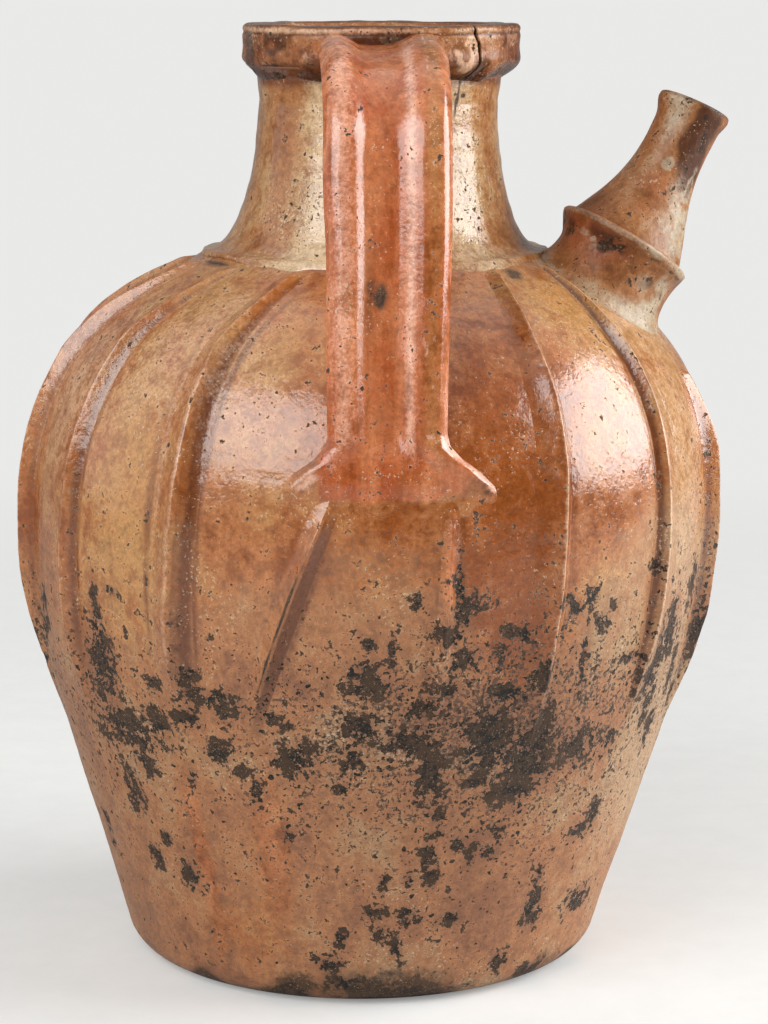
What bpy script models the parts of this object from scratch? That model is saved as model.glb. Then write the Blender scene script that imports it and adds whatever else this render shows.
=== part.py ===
"""Oil pitcher: a glazed earthenware vessel with a strap handle, a side spout and applied ribs.

The pitcher stands on the plane Z = 0 with the centre of its foot at the origin.
The handle is toward -Y and the spout toward +X. Lengths are in metres.

Everything turned on the wheel follows one outline in the plane of radius and height.
The ribs, both ends of the handle and the socket's foot take their shape from that same
outline, set off by the seat gap, so they follow the pot when a size changes.
"""

import math

import bmesh
import bpy
from mathutils import Matrix, Vector
from mathutils.geometry import interpolate_bezier

# Overall heights
RIM_HEIGHT = 0.350
NECK_FOOT_HEIGHT = 0.2665
BELLY_HEIGHT = 0.172
LIP_BAND_HEIGHT = 0.0190

# Outer radii of the turned parts
FOOT_RADIUS = 0.0876
BELLY_RADIUS = 0.1286
SHOULDER_TOP_RADIUS = 0.0635
SHOULDER_BORE_RADIUS = 0.0520
NECK_FOOT_RADIUS = 0.0605
THROAT_RADIUS = 0.0446
LIP_FOOT_RADIUS = 0.0457
LIP_RADIUS = 0.0516

# Directions of the outline, and how far it keeps each one
WALL_FLARE = math.radians(16.0)
WALL_PULL = 0.085
BELLY_PULL_BELOW = 0.050
BELLY_PULL_ABOVE = 0.075
SHOULDER_TOP_SLOPE = math.radians(45.0)
SHOULDER_TOP_PULL = 0.015
NECK_FOOT_RISE = math.radians(20.0)
NECK_FOOT_PULL = 0.010
THROAT_PULL = 0.0275
THROAT_BELOW_LIP = 0.0090
LIP_BULGE_RISE = 0.0060

# Walls, edges and the seat between touching pieces
WALL = 0.0070
FLOOR = 0.0090
NECK_WALL = 0.0062
TUBE_WALL = 0.0042
FOOT_ROUND = 0.0085
FLOOR_ROUND = 0.0200
LIP_ROUND = 0.0038
SHARP_ANGLE = math.radians(40.0)
SEAT_GAP = 0.0003

# The pitcher leans a little toward its spout: sideways run per height
LEAN = 0.0198

# Applied ribs, counted from the handle toward the spout
RIB_COUNT = 16
RIB_TURN = math.radians(7.5)
RIB_SHIFTS_IN_DEGREES = (2.0, -2.5, -1.5, -1.5, 1.0, -1.0, 0.5, 1.5, -1.0, 0.5, -0.5, 1.0, 0.5, 0.5, 3.0, 2.5)
RIB_TWIST = math.radians(3.5)
SLANTED_RIB = 15
RIB_SLANT = math.radians(24.0)
RIB_SWIRL = math.radians(8.0)
RIB_SWIRL_REACH = 0.030
RIB_WIDTH = 0.0170
RIB_RELIEF = 0.0050
RIB_EDGE = 0.0005
RIB_SHARPNESS = 1.3
RIB_LOW_END = 0.098
RIB_LOW_FADE = 0.045
RIB_TOP_FADE = 0.022
RIB_TOP_MARGIN = 0.0020
RIB_CLEARANCE = 0.0040

# Strap handle
HANDLE_TOP_WIDTH = 0.0462
HANDLE_LOW_WIDTH = 0.0396
HANDLE_FOOT_WIDTH = 0.0680
HANDLE_TOE_WIDTH = 0.0400
HANDLE_THICK = 0.0135
HANDLE_WEB_SINK = 0.0046
HANDLE_WEB_HALF_WIDTH = 0.0062
HANDLE_TOP_DROP = 0.0095
HANDLE_TOP_PULL = 0.0460
HANDLE_REACH = 0.1085
HANDLE_BEND_DROP = 0.0340
HANDLE_BEND_PULL = 0.0200
HANDLE_SPLAY = math.radians(10.0)
HANDLE_STRAIGHT_PULL = 0.0450
HANDLE_FOOT_RISE = 0.0265
HANDLE_FLARE_LENGTH = 0.0215
HANDLE_TOE_LENGTH = 0.0170
HANDLE_TOE_PULL = 0.0300
HANDLE_TOE_RELIEF = 0.0010
HANDLE_FOOT_EDGE = 0.0012
HANDLE_FOOT_ROUND = 0.0025

# Spout: where its collar's centre stands over the shoulder, and the direction of its axis
SPOUT_AZIMUTH = math.radians(80.76)
SPOUT_INSET = 0.0346
COLLAR_STAND = 0.0225
SPOUT_TILT = math.radians(27.5)
SPOUT_SWING = math.radians(15.0)
COLLAR_RADIUS = 0.0256
COLLAR_EDGE = 0.0016
COLLAR_UNDERCUT = 0.0120
SOCKET_WAIST_RADIUS = 0.0216
SOCKET_FLARE_RADIUS = 0.0262
SOCKET_FLARE_DEPTH = 0.0200
SOCKET_WAIST_ROUND = 0.0100
SOCKET_DEPTH = 0.0420
SHOULDER_HOLE_RADIUS = 0.0150
TUBE_FOOT_RADIUS = 0.0222
TUBE_LENGTH = 0.0557
TUBE_WAIST_RADIUS = 0.0121
TUBE_WAIST_HEIGHT = 0.0446
TUBE_TAPER = math.radians(24.0)
TUBE_FOOT_PULL = 0.0150
TUBE_WAIST_PULL = 0.0200
MOUTH_RADIUS = 0.0141
MOUTH_EDGE = 0.0030

# Fineness of the facets
POT_STEPS = 48
SPOUT_STEPS = 28
WALL_POINTS = 11
SHOULDER_POINTS = 11
NECK_POINTS = 8
INNER_POINTS = 8
ARC_STEPS = 3
RIB_ACROSS = 7
RIB_UNDER = 4
HANDLE_BEND_POINTS = 9
HANDLE_FALL_POINTS = 14
HALVINGS = 20
SLOPE_STEP = 0.001

# Colour, roughness and name of each finish
FINISHES = {
    "amber_glaze": ((0.36, 0.16, 0.07, 1.0), 0.25),
    "orange_glaze": ((0.48, 0.19, 0.09, 1.0), 0.22),
    "brown_glaze": ((0.27, 0.13, 0.07, 1.0), 0.30),
    "dark_glaze": ((0.20, 0.09, 0.04, 1.0), 0.28),
}


def stretch(start, start_pull, end_pull, end, count):
    """Points of a smooth stretch between two points of the outline and their pulls."""
    ends = [Vector((x, z, 0.0)) for x, z in (start, start_pull, end_pull, end)]
    return [(point.x, point.y) for point in interpolate_bezier(*ends, count)]


def rounded(corners, radii):
    """Outline in which each corner numbered in radii is an arc of that radius."""
    outline = []
    for index, corner in enumerate(corners):
        if index not in radii:
            outline.append(corner)
            continue
        here = Vector(corner)
        back = (Vector(corners[index - 1]) - here).normalized()
        ahead = (Vector(corners[index + 1]) - here).normalized()
        half_angle = back.angle(ahead) / 2.0
        reach = radii[index] / math.tan(half_angle)
        centre = here + (back + ahead).normalized() * radii[index] / math.sin(half_angle)
        first = here + back * reach - centre
        last = here + ahead * reach - centre
        start = math.atan2(first.y, first.x)
        sweep = math.remainder(math.atan2(last.y, last.x) - start, math.tau)
        for step in range(ARC_STEPS + 1):
            angle = start + sweep * step / ARC_STEPS
            arm = Vector((math.cos(angle), math.sin(angle))) * radii[index]
            outline.append(tuple(centre + arm))
    return outline


def set_off(outline, distance):
    """An outline that runs upward, moved away from the axis square to itself."""
    points = [Vector(point) for point in outline]
    moved = []
    for index, point in enumerate(points):
        back = points[max(index - 1, 0)]
        ahead = points[min(index + 1, len(points) - 1)]
        along = (ahead - back).normalized()
        moved.append(tuple(point + Vector((along.y, -along.x)) * distance))
    return moved


def at_height(outline, height):
    """Radius of an outline that runs upward, at a height."""
    for (low_radius, low), (high_radius, high) in zip(outline, outline[1:]):
        if height <= high:
            share = (height - low) / (high - low)
            return low_radius + share * (high_radius - low_radius)
    return outline[-1][0]


def shoulder_height(radius):
    """Height at which the shoulder has a radius."""
    low = BELLY_HEIGHT
    high = NECK_FOOT_HEIGHT
    outline = body_outline()
    for _ in range(HALVINGS):
        middle = (low + high) / 2.0
        if at_height(outline, middle) > radius:
            low = middle
        else:
            high = middle
    return low


def eased(share):
    """Smooth step from 0 to 1 as the share goes from 0 to 1, and flat beyond."""
    share = min(max(share, 0.0), 1.0)
    return share * share * (3.0 - 2.0 * share)


def body_outline():
    """Outer side of the body as (radius, height), from the foot to the shoulder's top."""
    foot = (FOOT_RADIUS, 0.0)
    foot_pull = (
        FOOT_RADIUS + WALL_PULL * math.sin(WALL_FLARE),
        WALL_PULL * math.cos(WALL_FLARE),
    )
    belly = (BELLY_RADIUS, BELLY_HEIGHT)
    below = (BELLY_RADIUS, BELLY_HEIGHT - BELLY_PULL_BELOW)
    above = (BELLY_RADIUS, BELLY_HEIGHT + BELLY_PULL_ABOVE)
    top = (SHOULDER_TOP_RADIUS, NECK_FOOT_HEIGHT)
    top_pull = (
        SHOULDER_TOP_RADIUS + SHOULDER_TOP_PULL * math.cos(SHOULDER_TOP_SLOPE),
        NECK_FOOT_HEIGHT - SHOULDER_TOP_PULL * math.sin(SHOULDER_TOP_SLOPE),
    )
    wall = stretch(foot, foot_pull, below, belly, WALL_POINTS)
    shoulder = stretch(belly, above, top_pull, top, SHOULDER_POINTS)
    return wall + shoulder[1:]


def body_section():
    """Closed section of the body: inside of the floor, up the inner wall, down the outer."""
    outer = body_outline()
    foot_corner = rounded([(0.0, 0.0), (FOOT_RADIUS, 0.0), outer[1]], {1: FOOT_ROUND})
    inner = set_off(outer, -WALL)
    mouth = (SHOULDER_BORE_RADIUS, NECK_FOOT_HEIGHT)
    lining = [point for point in inner if FLOOR + FLOOR_ROUND < point[1] < NECK_FOOT_HEIGHT]
    floor_corner = (at_height(inner, FLOOR), FLOOR)
    floor = rounded([(0.0, FLOOR), floor_corner, lining[0]], {1: FLOOR_ROUND})
    down = list(reversed(outer[2:])) + list(reversed(foot_corner))
    return floor[:-1] + lining + [mouth] + down


def neck_outline():
    """Outer side of the neck, from its foot on the shoulder to just under the rim band."""
    foot = (NECK_FOOT_RADIUS, NECK_FOOT_HEIGHT + SEAT_GAP)
    foot_pull = (
        foot[0] - NECK_FOOT_PULL * math.cos(NECK_FOOT_RISE),
        foot[1] + NECK_FOOT_PULL * math.sin(NECK_FOOT_RISE),
    )
    throat = (THROAT_RADIUS, lip_foot_height() - THROAT_BELOW_LIP)
    throat_pull = (THROAT_RADIUS, throat[1] - THROAT_PULL)
    top = (LIP_FOOT_RADIUS, lip_foot_height() - SEAT_GAP)
    return stretch(foot, foot_pull, throat_pull, throat, NECK_POINTS) + [top]


def neck_section():
    """Closed section of the neck ring: up the inner side and down the outer side."""
    outer = neck_outline()
    inner = set_off(outer, -NECK_WALL)
    foot = (SHOULDER_BORE_RADIUS, outer[0][1])
    top = (THROAT_RADIUS - NECK_WALL, outer[-1][1])
    lining = [point for point in inner if point[0] < foot[0] and foot[1] < point[1] < top[1]]
    return [foot] + lining + [top] + list(reversed(outer))


def lip_foot_height():
    """Height of the joint between the neck and the rim band."""
    return RIM_HEIGHT - LIP_BAND_HEIGHT


def lip_outline():
    """Outer side of the rim band, from its foot to the inner edge of its flat top."""
    foot = lip_foot_height()
    corners = [
        (LIP_FOOT_RADIUS, foot),
        (LIP_RADIUS, foot + LIP_BULGE_RISE),
        (LIP_RADIUS, RIM_HEIGHT),
        (THROAT_RADIUS - NECK_WALL, RIM_HEIGHT),
    ]
    return rounded(corners, {1: LIP_ROUND, 2: LIP_ROUND})


def lip_section():
    """Closed section of the rim band: up the bore and down the outer side."""
    bore_foot = (THROAT_RADIUS - NECK_WALL, lip_foot_height())
    return [bore_foot] + list(reversed(lip_outline()))


def pot_envelope():
    """Section of the whole pot as one solid, larger than it by the seat gap all over."""
    outer = set_off(body_outline(), SEAT_GAP)
    outer += set_off(neck_outline(), SEAT_GAP)
    outer += set_off(lip_outline(), SEAT_GAP)
    return [(0.0, outer[-1][1])] + list(reversed(outer)) + [(0.0, outer[0][1])]


def spout_axis():
    """Matrix whose origin is the collar's centre and whose Z is the spout's axis."""
    radius = BELLY_RADIUS - SPOUT_INSET
    centre = on_pot(Vector((radius, shoulder_height(radius) + COLLAR_STAND)), SPOUT_AZIMUTH)
    place = Matrix.Translation(centre)
    return place @ Matrix.Rotation(SPOUT_SWING, 4, "Z") @ Matrix.Rotation(SPOUT_TILT, 4, "Y")


def tube_outline():
    """Outer side of the spout's tube, from its foot on the collar to its mouth."""
    waist = (TUBE_WAIST_RADIUS, TUBE_WAIST_HEIGHT)
    foot = (TUBE_FOOT_RADIUS, SEAT_GAP)
    foot_pull = (
        foot[0] - TUBE_FOOT_PULL * math.sin(TUBE_TAPER),
        foot[1] + TUBE_FOOT_PULL * math.cos(TUBE_TAPER),
    )
    waist_pull = (TUBE_WAIST_RADIUS, TUBE_WAIST_HEIGHT - TUBE_WAIST_PULL)
    tube = stretch(foot, foot_pull, waist_pull, waist, INNER_POINTS)
    return tube + [(MOUTH_RADIUS, TUBE_LENGTH - MOUTH_EDGE), (MOUTH_RADIUS, TUBE_LENGTH)]


def tube_section():
    """Closed section of the spout's tube: up the bore and down the outer side."""
    outer = tube_outline()
    inner = set_off(outer[:-2], -TUBE_WALL)
    foot = (TUBE_FOOT_RADIUS - TUBE_WALL, SEAT_GAP)
    mouth = (MOUTH_RADIUS - TUBE_WALL, TUBE_LENGTH)
    lining = [point for point in inner if point[1] > SEAT_GAP]
    return [foot] + lining + [mouth] + list(reversed(outer))


def socket_section():
    """Closed section of the spout's socket, deep enough to reach into the shoulder."""
    bore = TUBE_FOOT_RADIUS - TUBE_WALL
    corners = [
        (bore, -SOCKET_DEPTH),
        (bore, 0.0),
        (COLLAR_RADIUS - COLLAR_EDGE, 0.0),
        (COLLAR_RADIUS, -COLLAR_EDGE),
        (SOCKET_WAIST_RADIUS, -COLLAR_UNDERCUT),
        (SOCKET_FLARE_RADIUS, -SOCKET_FLARE_DEPTH),
        (SOCKET_FLARE_RADIUS, -SOCKET_DEPTH),
    ]
    return rounded(corners, {4: SOCKET_WAIST_ROUND})


def turned(name, section, steps, closed, place=Matrix.Identity(4)):
    """Object turned by a Screw modifier from a section that runs down its outer side."""
    mesh = bpy.data.meshes.new(name)
    edges = [(i, i + 1) for i in range(len(section) - 1)]
    if closed:
        edges.append((len(section) - 1, 0))
    mesh.from_pydata([(radius, 0.0, height) for radius, height in section], edges, [])
    piece = bpy.data.objects.new(name, mesh)
    screw = piece.modifiers.new("Turned", "SCREW")
    screw.axis = "Z"
    screw.steps = steps
    screw.render_steps = steps
    screw.use_merge_vertices = True
    screw.merge_threshold = 0.00001
    piece.matrix_local = place
    return piece


def loft(name, rings):
    """Closed mesh object through rings of equal point counts, with flat ends."""
    shape = bmesh.new()
    rows = [[shape.verts.new(point) for point in ring] for ring in rings]
    for row, following in zip(rows, rows[1:]):
        for i in range(len(row)):
            j = (i + 1) % len(row)
            shape.faces.new((row[i], row[j], following[j], following[i]))
    shape.faces.new(reversed(rows[0]))
    shape.faces.new(rows[-1])
    bmesh.ops.recalc_face_normals(shape, faces=shape.faces)
    mesh = bpy.data.meshes.new(name)
    shape.to_mesh(mesh)
    shape.free()
    return bpy.data.objects.new(name, mesh)


def cut(piece, cutter):
    """Take the cutter's space out of the piece."""
    boolean = piece.modifiers.new("Seated on " + cutter.name, "BOOLEAN")
    boolean.operation = "DIFFERENCE"
    boolean.solver = "EXACT"
    boolean.object = cutter


def make_handle():
    """Strap handle lofted along its side curve, before its ends are cut to the pot."""
    path = handle_path()
    rings = []
    for index, (reach, height) in enumerate(path):
        back = path[max(index - 1, 0)]
        ahead = path[min(index + 1, len(path) - 1)]
        along = Vector((ahead[0] - back[0], ahead[1] - back[1])).normalized()
        outward = Vector((-along.y, along.x))
        share = index / (len(path) - 1)
        ring = []
        for across, out in handle_section(share, reach, height):
            radius = reach + outward.x * out
            ring.append((across, -radius, height + outward.y * out))
        rings.append(ring)
    return loft("handle", rings)


def handle_foot_height():
    """Height at which the handle's foot is widest, just above the belly."""
    return BELLY_HEIGHT + HANDLE_FOOT_RISE


def handle_toe_height():
    """Height at which the handle's foot runs out on the belly."""
    return handle_foot_height() - HANDLE_TOE_LENGTH


def handle_path():
    """Middle line of the strap in its side plane as (reach from the axis, height)."""
    toe_height = handle_toe_height()
    start = (THROAT_RADIUS - NECK_WALL, RIM_HEIGHT - HANDLE_TOP_DROP)
    start_pull = (start[0] + HANDLE_TOP_PULL, start[1])
    down = Vector((math.sin(HANDLE_SPLAY), -math.cos(HANDLE_SPLAY)))
    bend = Vector((HANDLE_REACH, start[1] - HANDLE_BEND_DROP))
    toe_depth = HANDLE_THICK / 2.0 - HANDLE_TOE_RELIEF
    toe = (at_height(body_outline(), toe_height) - toe_depth, toe_height)
    toe_pull = (toe[0], toe[1] + HANDLE_TOE_PULL)
    over = stretch(start, start_pull, bend - down * HANDLE_BEND_PULL, bend, HANDLE_BEND_POINTS)
    fall = stretch(bend, bend + down * HANDLE_STRAIGHT_PULL, toe_pull, toe, HANDLE_FALL_POINTS)
    return over + fall[1:]


def handle_section(share, reach, height):
    """Strap section as (across, outward): two round ridges with a sunk web between.

    Toward the foot the web fills, the strap spreads, and its edges run down to the pot.
    """
    over_foot = height - handle_foot_height()
    flare = eased(1.0 - over_foot / HANDLE_FLARE_LENGTH)
    toe = eased(-over_foot / HANDLE_TOE_LENGTH)
    strap_width = HANDLE_TOP_WIDTH + share * (HANDLE_LOW_WIDTH - HANDLE_TOP_WIDTH)
    width = strap_width + flare * (HANDLE_FOOT_WIDTH - strap_width)
    width += toe * (HANDLE_TOE_WIDTH - HANDLE_FOOT_WIDTH)
    half_width = width / 2.0
    half_thick = HANDLE_THICK / 2.0
    corner = half_thick + flare * (HANDLE_FOOT_ROUND - half_thick)
    half = []
    for degrees in (-90.0, -50.0, -15.0):
        angle = math.radians(degrees)
        across = half_width - corner + corner * math.cos(angle)
        half.append((across, corner - half_thick + corner * math.sin(angle)))
    for degrees in (15.0, 55.0, 90.0, 125.0):
        angle = math.radians(degrees)
        across = half_width - corner + corner * math.cos(angle)
        half.append((across, half_thick - corner + corner * math.sin(angle)))
    half.append((HANDLE_WEB_HALF_WIDTH, half_thick - HANDLE_WEB_SINK * (1.0 - flare)))
    stand = reach + half_thick - at_height(body_outline(), height)
    pot_fall = half_width ** 2 / (2.0 * BELLY_RADIUS)
    crown = flare * (pot_fall + stand - HANDLE_FOOT_EDGE)
    side = [(across, out - crown * (across / half_width) ** 2) for across, out in half]
    mirrored = [(-across, out) for across, out in reversed(side)]
    return side + mirrored


def rib_azimuth(number, height):
    """Angle of a rib's middle from the handle toward the spout, at a height."""
    azimuth = RIB_TURN + math.tau * number / RIB_COUNT
    azimuth += math.radians(RIB_SHIFTS_IN_DEGREES[number % len(RIB_SHIFTS_IN_DEGREES)])
    twist = RIB_TWIST
    if number == SLANTED_RIB:
        twist += RIB_SLANT
    azimuth += twist * (height - BELLY_HEIGHT) / BELLY_HEIGHT
    swirl_start = NECK_FOOT_HEIGHT - RIB_SWIRL_REACH
    swirl = max(height - swirl_start, 0.0) / RIB_SWIRL_REACH
    return azimuth + RIB_SWIRL * swirl * swirl


def rib_half_angle():
    """Half the angle that a rib covers round the pot."""
    return RIB_WIDTH / 2.0 / BELLY_RADIUS


def rib_top(number):
    """Height at which a rib starts: the neck's foot, or below the handle or the socket."""
    middle = rib_azimuth(number, BELLY_HEIGHT)
    reach = rib_half_angle() + RIB_CLEARANCE / BELLY_RADIUS
    handle_reach = HANDLE_FOOT_WIDTH / 2.0 / BELLY_RADIUS
    if abs(math.remainder(middle, math.tau)) < handle_reach + reach:
        return handle_toe_height() - RIB_CLEARANCE
    foot = spout_axis() @ Vector((0.0, 0.0, -SOCKET_FLARE_DEPTH))
    socket_azimuth = math.atan2(foot.x, -foot.y)
    socket_reach = math.asin(SOCKET_FLARE_RADIUS / math.hypot(foot.x, foot.y))
    if abs(math.remainder(middle - socket_azimuth, math.tau)) < socket_reach + 2.0 * reach:
        return socket_low_height() - RIB_CLEARANCE
    return NECK_FOOT_HEIGHT - RIB_TOP_MARGIN


def socket_low_height():
    """Height at which the socket's lowest side meets the pot."""
    bare = body_outline()
    depth = SOCKET_FLARE_DEPTH
    low_side = spout_axis() @ Vector((SOCKET_FLARE_RADIUS, 0.0, -depth))
    while math.hypot(low_side.x, low_side.y) > at_height(bare, low_side.z):
        depth += SEAT_GAP
        low_side = spout_axis() @ Vector((SOCKET_FLARE_RADIUS, 0.0, -depth))
    return low_side.z


def rib_ring(number, seat, height, top):
    """Closed ring of points across a rib at one height: over its crest and back under."""
    bare = body_outline()
    inward = at_height(bare, height - SLOPE_STEP) - at_height(bare, height + SLOPE_STEP)
    outward = Vector((2.0 * SLOPE_STEP, inward)).normalized()
    fade = eased((height - RIB_LOW_END) / RIB_LOW_FADE) * eased((top - height) / RIB_TOP_FADE)
    middle = rib_azimuth(number, height)
    ring = []
    for step in range(RIB_ACROSS):
        across = 2.0 * step / (RIB_ACROSS - 1) - 1.0
        rise = RIB_EDGE + RIB_RELIEF * fade * (1.0 - abs(across)) ** RIB_SHARPNESS
        spot = Vector((at_height(seat, height), height)) + outward * rise
        ring.append(on_pot(spot, middle + across * rib_half_angle()))
    for step in range(RIB_UNDER):
        across = 1.0 - 2.0 * step / (RIB_UNDER - 1)
        spot = Vector((at_height(seat, height), height))
        ring.append(on_pot(spot, middle + across * rib_half_angle()))
    return ring


def on_pot(spot, azimuth):
    """Point in space of a (radius, height) spot at an angle from the handle."""
    return Vector((spot.x * math.sin(azimuth), -spot.x * math.cos(azimuth), spot.y))


def make_rib(number):
    """One applied rib lofted over the pot's outline, with faded ends and a low edge."""
    seat = set_off(body_outline(), SEAT_GAP)
    top = rib_top(number)
    between = [z for _, z in seat if RIB_LOW_END < z < top]
    heights = [RIB_LOW_END] + between + [top]
    rings = [rib_ring(number, seat, height, top) for height in heights]
    return loft("rib_%02d" % (number + 1), rings)


def make_cutters():
    """Cutters: the pot's envelope, and the hole through the shoulder under the spout."""
    envelope = turned("pot_envelope", pot_envelope(), POT_STEPS, False)
    hole_section = [
        (0.0, 0.0),
        (SHOULDER_HOLE_RADIUS, 0.0),
        (SHOULDER_HOLE_RADIUS, -SOCKET_DEPTH),
        (0.0, -SOCKET_DEPTH),
    ]
    hole = turned("shoulder_hole", hole_section, SPOUT_STEPS, False, spout_axis())
    return envelope, hole


def make_pieces(envelope, hole):
    """All the sub-parts with the name of each one's finish."""
    body = turned("body", body_section(), POT_STEPS, False)
    cut(body, hole)
    neck = turned("neck", neck_section(), POT_STEPS, True)
    rim_band = turned("rim_band", lip_section(), POT_STEPS, True)
    handle = make_handle()
    cut(handle, envelope)
    socket = turned("spout_socket", socket_section(), SPOUT_STEPS, True, spout_axis())
    cut(socket, envelope)
    tube = turned("spout_tube", tube_section(), SPOUT_STEPS, True, spout_axis())
    pieces = [
        (body, "amber_glaze"),
        (neck, "amber_glaze"),
        (rim_band, "dark_glaze"),
        (handle, "orange_glaze"),
        (socket, "brown_glaze"),
        (tube, "brown_glaze"),
    ]
    pieces += [(make_rib(number), "amber_glaze") for number in range(RIB_COUNT)]
    return pieces


def make_finish(piece, finish):
    """Give the piece its own Principled BSDF material."""
    colour, roughness = FINISHES[finish]
    material = bpy.data.materials.new(piece.name + "_" + finish)
    material.use_nodes = True
    shader = material.node_tree.nodes["Principled BSDF"]
    shader.inputs["Base Color"].default_value = colour
    shader.inputs["Roughness"].default_value = roughness
    shader.inputs["Metallic"].default_value = 0.0
    material.diffuse_color = colour
    piece.data.materials.append(material)


def make_collection(name):
    """A new collection in the scene."""
    collection = bpy.data.collections.new(name)
    bpy.context.scene.collection.children.link(collection)
    return collection


def main():
    """Clear the scene and build the pitcher."""
    for old in list(bpy.data.objects):
        bpy.data.objects.remove(old, do_unlink=True)
    pitcher = make_collection("oil_pitcher")
    cutters = make_collection("cutters")

    pot_axis = bpy.data.objects.new("pot_axis", None)
    pitcher.objects.link(pot_axis)
    lean = Matrix.Identity(4)
    lean[0][2] = LEAN

    envelope, hole = make_cutters()
    for cutter in (envelope, hole):
        cutters.objects.link(cutter)
        cutter.hide_render = True
        cutter.display_type = "WIRE"
    pieces = make_pieces(envelope, hole)
    for piece, finish in pieces:
        pitcher.objects.link(piece)
        make_finish(piece, finish)
        piece.data.shade_smooth()
        piece.data.set_sharp_from_angle(angle=SHARP_ANGLE)
    for item in [envelope, hole] + [piece for piece, _ in pieces]:
        item.parent = pot_axis
        item.matrix_parent_inverse = lean


main()
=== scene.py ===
"""Looks of a glazed earthenware oil pitcher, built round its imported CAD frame.

The pitcher is a wheel-thrown pot with applied ribs, a pulled strap handle and a side spout,
lead glazed over most of its height and worn, pitted and flaked below. Every piece here is a
surface worked out with numpy in the frame of the CAD, in metres, and stands for the CAD node
of the same name. Outlines are in the plane of radius and height before the pot's lean, angles
round the pot run from the handle (-Y) toward the spout (+X).
"""

from __future__ import annotations

import logging
import math
from abc import ABC, abstractmethod
from collections.abc import Callable, Iterator
from dataclasses import dataclass, field
from enum import Enum
from itertools import pairwise

import bpy
import numpy as np
from mathutils import Matrix

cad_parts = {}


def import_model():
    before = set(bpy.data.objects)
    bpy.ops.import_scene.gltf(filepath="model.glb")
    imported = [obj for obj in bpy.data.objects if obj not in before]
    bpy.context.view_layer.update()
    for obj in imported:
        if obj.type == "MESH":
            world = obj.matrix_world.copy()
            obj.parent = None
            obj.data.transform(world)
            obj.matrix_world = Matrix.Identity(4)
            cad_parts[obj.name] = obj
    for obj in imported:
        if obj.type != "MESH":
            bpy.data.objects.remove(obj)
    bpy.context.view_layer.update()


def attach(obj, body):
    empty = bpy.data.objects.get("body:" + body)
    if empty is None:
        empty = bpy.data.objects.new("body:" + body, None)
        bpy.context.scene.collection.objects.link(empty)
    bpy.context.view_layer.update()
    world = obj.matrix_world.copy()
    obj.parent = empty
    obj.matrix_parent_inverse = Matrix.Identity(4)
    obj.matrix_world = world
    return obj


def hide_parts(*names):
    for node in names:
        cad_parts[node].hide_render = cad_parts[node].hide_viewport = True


log = logging.getLogger("oil_pitcher")

MM = 0.001
BODY = "root"
FLAKE_START, FLAKE_EASE = 0.45, 0.25  # scar at which the surface starts to sink, and over how much
AWAY_FROM_ZERO = 1000.0  # keeps the cells of the lumps positive


class Mark(Enum):
    """What a finish reads from the vertices of a piece, each from 0 to 1."""

    GLAZE = "glaze"
    TONE = "tone"
    BLUSH = "blush"
    # Pooled glaze, and painted shade on rib flanks toward the handle, under the rim band, between the
    # handle's ears and under its toe
    POOL_AND_SHADE = "pool"
    # Worn glaze, and painted highlights and sheen where the glaze mirrors the lamps
    WEAR_AND_SHEEN = "wear"
    SCAR = "scar"
    GRIT = "grit"
    # Soot and dirt, and painted shade under the rim band, between the handle's ears and below the handle's
    # right wing
    SOOT_AND_SHADE = "soot"


Array = np.ndarray
Marks = dict[Mark, Array | float]
Point = tuple[float, float] | Array
Object = bpy.types.Object
Material = bpy.types.Material
Socket = bpy.types.NodeSocket

# Marks of surfaces that the photo doesn't show, such as the lining
GLAZED_INSIDE: Marks = {Mark.GLAZE: 1.0, Mark.TONE: 0.35}


class Grain(Enum):
    """Noises of the finishes by the size of their features, in millimetres."""

    CLOUD = 30.0
    STREAK = 9.0
    MOTTLE = 6.0
    CRUST = 2.5
    FLECK = 1.4
    CHALK = 1.1
    DUST = 0.7


class Slot(Enum):
    """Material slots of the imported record."""

    BODY = "body"
    RIBS = "ribs"
    NECK = "neck"
    RIM = "rim_band"
    HANDLE = "handle"
    SOCKET = "spout_socket"
    TUBE = "spout_tube"


def eased(share: Array) -> Array:
    """Smooth step: 0 below 0, 1 above 1, and 3x^2 - 2x^3 between."""
    share = np.clip(share, 0.0, 1.0)
    return share * share * (3.0 - 2.0 * share)


def hump(value: Array, middle: float, reach: float) -> Array:
    """Bell of height 1: e to the power of minus the squared distance in reaches."""
    return np.exp(-(((value - middle) / reach) ** 2))


def turn_between(azimuth: Array, middle: float | Array) -> Array:
    """Shortest signed turn from one angle to others, in radians."""
    return (azimuth - middle + math.pi) % math.tau - math.pi


def bell_round(azimuth: Array, degrees: float, reach: float) -> Array:
    """Bell of height 1 round an angle in degrees, its reach in radians."""
    return hump(turn_between(azimuth, math.radians(degrees)), 0.0, reach)


def full_turn(count: int) -> Array:
    """Angles evenly round a full turn, the last one short of the first."""
    return np.arange(count) * math.tau / count


def bezier(start: Point, start_pull: Point, end_pull: Point, end: Point, count: int) -> Array:
    """Cubic curve: (1-t)^3 a + 3(1-t)^2 t b + 3(1-t) t^2 c + t^3 d.

    Args:
        start: First point.
        start_pull: Its control point.
        end_pull: The last point's control point.
        end: Last point.
        count: How many points to give.

    Returns:
        Points, one to a row.
    """
    t = np.linspace(0.0, 1.0, count)[:, None]
    a, b, c, d = (np.asarray(point, float) for point in (start, start_pull, end_pull, end))
    return (1 - t) ** 3 * a + 3 * (1 - t) ** 2 * t * b + 3 * (1 - t) * t**2 * c + t**3 * d


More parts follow.
